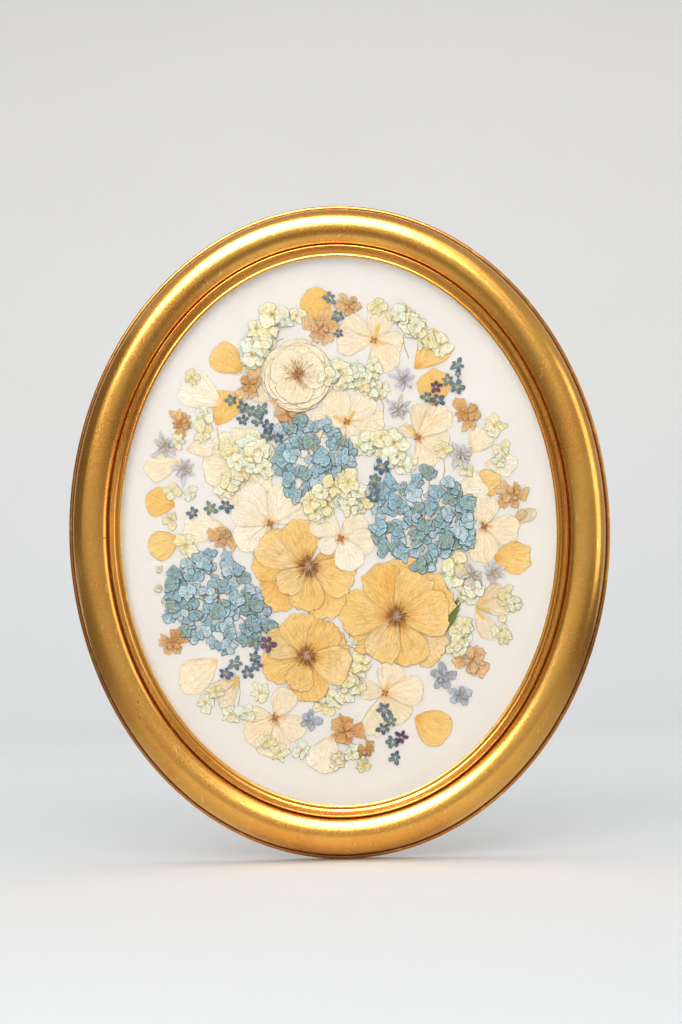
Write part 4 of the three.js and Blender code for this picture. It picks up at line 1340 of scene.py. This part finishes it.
def makeCreamRose():
    sheets = []
    for ring, (reach, count, spread) in enumerate(creamRose["rings"]):
        for k in range(count):
            direction = k * 360 / count + creamRose["turn"] * ring
            sheets.append(layPetal(*creamRose["at"], direction, reach, spread=spread,
                                   tone=0.35 + 0.3 * inTurn(3 * ring + k), **creamRose["shape"]))
    finishPetals(sheets, "cream_rose_petals", petalFinishes["creamRose"], "cream_petals", "cream_rose")
    layTuft("cream_rose_stamens", *creamRose["middle"], 14, 60, stamenTan, "cream_petals", 17)
    layTuft("cream_rose_pistils", *creamRose["middle"], 6, 40, stamenBrown, "cream_petals", 19)


def makeMiddlePieces():
    makeSmallFlorets("amber_florets")
    makeCluster("pale_hydrangea_on_cream")
    for name in ("left", "top", "upper", "right"):
        makePansy("cream_pansy_" + name)
    makeCluster("pale_hydrangea_upper_left")
    makeCreamRose()
    for name in ("upper_middle", "upper_right", "centre"):
        makeCluster("pale_hydrangea_" + name)
    makeBlueHead("blue_hydrangea_top")
    makeBlueHead("blue_hydrangea_left")
    makePansy("cream_pansy_lower_right")
    for name in ("lower_middle", "lower_right"):
        makeCluster("pale_hydrangea_" + name)
    makePansy("cream_pansy_far_right")
    makeLoosePetal("yellow_petal_10")
    print("middle flowers laid,", petalCount[0], "petals so far")


def makeTopPieces():
    makeSmallPetal("leaf_tip", leafTip, point=0.3, ruffle=0.2, ruffles=30.0)
    for name in roses:
        makeRose(name)
    makePansy("cream_pansy_bottom")
    makePansy("cream_pansy_middle")
    makeSmallFlorets("pale_florets_loose")
    makeCluster("green_hydrangea_centre")
    makeBlueHead("blue_hydrangea_right")
    for name in ("star_florets", "plum_florets"):
        makeSmallFlorets(name)
    layEyes("star_eyes", smallFlorets["star_florets"]["places"] + smallFlorets["plum_florets"]["places"],
            eyeCream, "blue_petals")
    for name in ("lavender_florets", "sky_florets"):
        makeSmallFlorets(name)
    print("top flowers laid,", petalCount[0], "petals in all, highest", round(float(laidHeights.max()), 1))


view = {
    "distance": 1760, "azimuth": 2.0, "elevation": -3.0, "roll": 1.25, "aimRight": 2.8, "aimUp": 15.9,
    "renderHeight": 1024, "scale": 0.9095, "planeHeight": 13, "sensor": 24, "farthest": 20,
}


def placeCamera():
    # scale is how many millimetres of the board one row of the render covers
    data = bpy.data.cameras.new("camera")
    camera = newPiece("camera", data)
    outward = outwardAt(view["azimuth"], view["elevation"])
    aim = roomPlace(view["aimRight"], view["aimUp"], view["planeHeight"])
    camera.location = aim + outward * view["distance"] * mm
    turn = (-outward).to_track_quat("-Z", "Y")
    camera.rotation_mode = "QUATERNION"
    camera.rotation_quaternion = turn @ Quaternion((0, 0, 1), math.radians(-view["roll"]))
    data.sensor_fit = "VERTICAL"
    data.sensor_height = view["sensor"]
    halfHeight = view["scale"] * view["renderHeight"] / 2
    data.lens = data.sensor_height / 2 * view["distance"] / halfHeight
    data.clip_end = view["farthest"]
    bpy.context.scene.camera = camera


# In metres, as the lights and the flags are.
stage = {
    "floor": mouldingLow.z - 0.0003, "wide": 6.0, "front": -4.0, "back": 2.5, "high": 4.2,
    "sweep": 0.6, "sweepSteps": 24,
    "floorPaper": (tint(243, 248, 252), tint(240, 245, 250)),
    "wallPaper": (tint(245, 247, 247), tint(242, 244, 245)),
}


def makeStage():
    deselectAll()
    bpy.ops.mesh.primitive_plane_add(size=1, location=(0, 0, stage["floor"]))
    sweep = nameNewest("backdrop")
    sweep.scale = (stage["wide"], stage["back"] - stage["front"], 1)
    sweep.location.y = (stage["back"] + stage["front"]) / 2
    applyPlace(sweep)
    bpy.ops.object.mode_set(mode="EDIT")
    bpy.ops.mesh.select_mode(type="EDGE")
    bpy.ops.mesh.select_all(action="DESELECT")
    bpy.ops.object.mode_set(mode="OBJECT")
    for edge in sweep.data.edges:
        edge.select = all(sweep.data.vertices[i].co.y > 0 for i in edge.vertices)
    bpy.ops.object.mode_set(mode="EDIT")
    bpy.ops.mesh.extrude_region()
    bpy.ops.transform.translate(value=(0, 0, stage["high"]))
    bpy.ops.mesh.select_all(action="SELECT")
    bpy.ops.mesh.normals_make_consistent(inside=False)
    bpy.ops.object.mode_set(mode="OBJECT")
    applyModifier(sweep, "BEVEL", width=stage["sweep"], segments=stage["sweepSteps"],
                  limit_method="ANGLE")
    smoothFaces(sweep, 60)
    finish, tree, shader = startFinish("backdrop_paper", Roughness=0.9, Specular_IOR_Level=0.0)
    place = objectPlace(tree)
    cloud = noiseOn(tree, place, 3.0)
    floorPaper = mixColours(tree, cloud, *stage["floorPaper"])
    wallPaper = mixColours(tree, cloud, *stage["wallPaper"])
    high = axesOf(tree, place)[2].ease(stage["floor"] + 0.02, 0.4)
    feed(shader, "Base Color", mixColours(tree, high, floorPaper, wallPaper))
    sweep.data.materials.append(finish)


# Dark cloths that are seen in the gilding alone: its lower side and its left side stay brown.
flagCloth = {"pale": tint(243, 246, 248), "dark": (tint(126, 116, 106), tint(118, 108, 98)), "scale": 40.0}
flags = {
    "floor_flag": {"at": (0, -1.5, mouldingLow.z + 0.002), "size": (6.0, 5.0, 1), "turn": 0},
    "side_flag": {"at": (-2.2, 0.3, 0.5), "size": (1.7, 3.4, 1), "turn": 90},
}


def makeFlags():
    cloth, tree, shader = startFinish("flag_cloth", Roughness=0.9)
    place = objectPlace(tree)
    x, y, _ = axesOf(tree, place)
    cloud = mixColours(tree, noiseOn(tree, place, flagCloth["scale"]), *flagCloth["dark"])
    dark = abs(x).ease(0.0, 0.75).orMore(y.ease(-0.75, -1.15))
    feed(shader, "Base Color", mixColours(tree, dark, flagCloth["pale"], cloud))
    for name, place in flags.items():
        deselectAll()
        bpy.ops.mesh.primitive_plane_add(size=1)
        flag = nameNewest(name)
        flag.scale = place["size"]
        flag.rotation_euler.y = math.radians(place["turn"])
        flag.location = place["at"]
        applyPlace(flag)
        flag.data.materials.append(cloth)
        flag.visible_camera = False
        flag.visible_diffuse = False
        flag.visible_transmission = False
        flag.visible_shadow = False


# The glossy lamps are seen in the gilding alone; the diffuse ones light the board, the floor and the wall.
# Towards is (azimuth, elevation), and away is how far the lamp stands from what it is about.
lights = {
    "key": {"towards": (-15, 46), "away": 1.95, "size": (1.6, 1.6), "strength": 12.0, "seen": "glossy",
            "colour": (1.0, 0.99, 0.96)},
    "front": {"towards": (-10, 13), "away": 2.1, "size": (1.6, 1.2), "strength": 2.25, "seen": "diffuse",
              "colour": (1.0, 0.99, 0.97)},
    "top": {"towards": (0, 56), "away": 2.0, "size": (2.6, 1.6), "strength": 0.8, "seen": "glossy",
            "colour": (1.0, 0.99, 0.98)},
    "upper": {"towards": (0, 34), "away": 2.0, "size": (2.6, 1.1), "strength": 0.92, "seen": "diffuse",
              "colour": (1.0, 0.99, 0.98)},
    "wall": {"towards": (0, 20), "away": 1.7, "size": (4.4, 1.0), "strength": 0.56, "seen": "diffuse",
             "colour": (1.0, 0.91, 0.83), "about": (0, 2.5, 0.25)},
    "ground": {"towards": (0, 78), "away": 1.5, "size": (4.4, 1.2), "strength": 0.74, "seen": "diffuse",
               "colour": (1.0, 0.97, 0.94), "about": (0, 0.55, -0.3)},
    "right": {"towards": (78, 8), "away": 2.1, "size": (1.0, 1.7), "strength": 1.5, "seen": "glossy",
              "colour": (1.0, 0.98, 0.95)},
}
roomLight = {"colour": (1.0, 0.965, 0.93, 1.0), "strength": 0.48, "low": 0.22}


def placeLights():
    middle = roomPlace(0, 0, boardFront)
    for name, light in lights.items():
        data = bpy.data.lights.new(name, "AREA")
        data.shape = "RECTANGLE"
        data.size, data.size_y = light["size"]
        data.energy = light["strength"] * math.pi * data.size * data.size_y
        data.color = light["colour"]
        lamp = newPiece(name + "_light", data)
        outward = outwardAt(*light["towards"])
        lamp.location = Vector(light.get("about", middle)) + outward * light["away"]
        lamp.rotation_mode = "QUATERNION"
        lamp.rotation_quaternion = (-outward).to_track_quat("-Z", "Y")
        lamp.visible_diffuse = light["seen"] != "glossy"
        lamp.visible_glossy = light["seen"] != "diffuse"
        lamp.visible_transmission = light["seen"] != "glossy"
        lamp.visible_camera = False
    world = bpy.data.worlds.new("room")
    world.use_nodes = True
    background = next(node for node in world.node_tree.nodes if node.type == "BACKGROUND")
    background.inputs["Color"].default_value = roomLight["colour"]
    direction = Wire.add(world.node_tree, "ShaderNodeTexCoord", {}, {})
    up = axesOf(world.node_tree, direction)[2]
    strength = roomLight["low"] + up.ease(-0.35, 0.05) * (roomLight["strength"] - roomLight["low"])
    world.node_tree.links.new(strength.socket, background.inputs["Strength"])
    bpy.context.scene.world = world
    bpy.context.scene.view_settings.view_transform = "Standard"


placeCamera()
makeStage()
makeFlags()
placeLights()
print("camera, backdrop and lights placed")
makeMoulding()
finishPlainNodes()
print("frame and back finished")
makeLowPieces()
makeMiddlePieces()
makeTopPieces()
for mesh in sheetMeshes.values():
    bpy.data.meshes.remove(mesh)
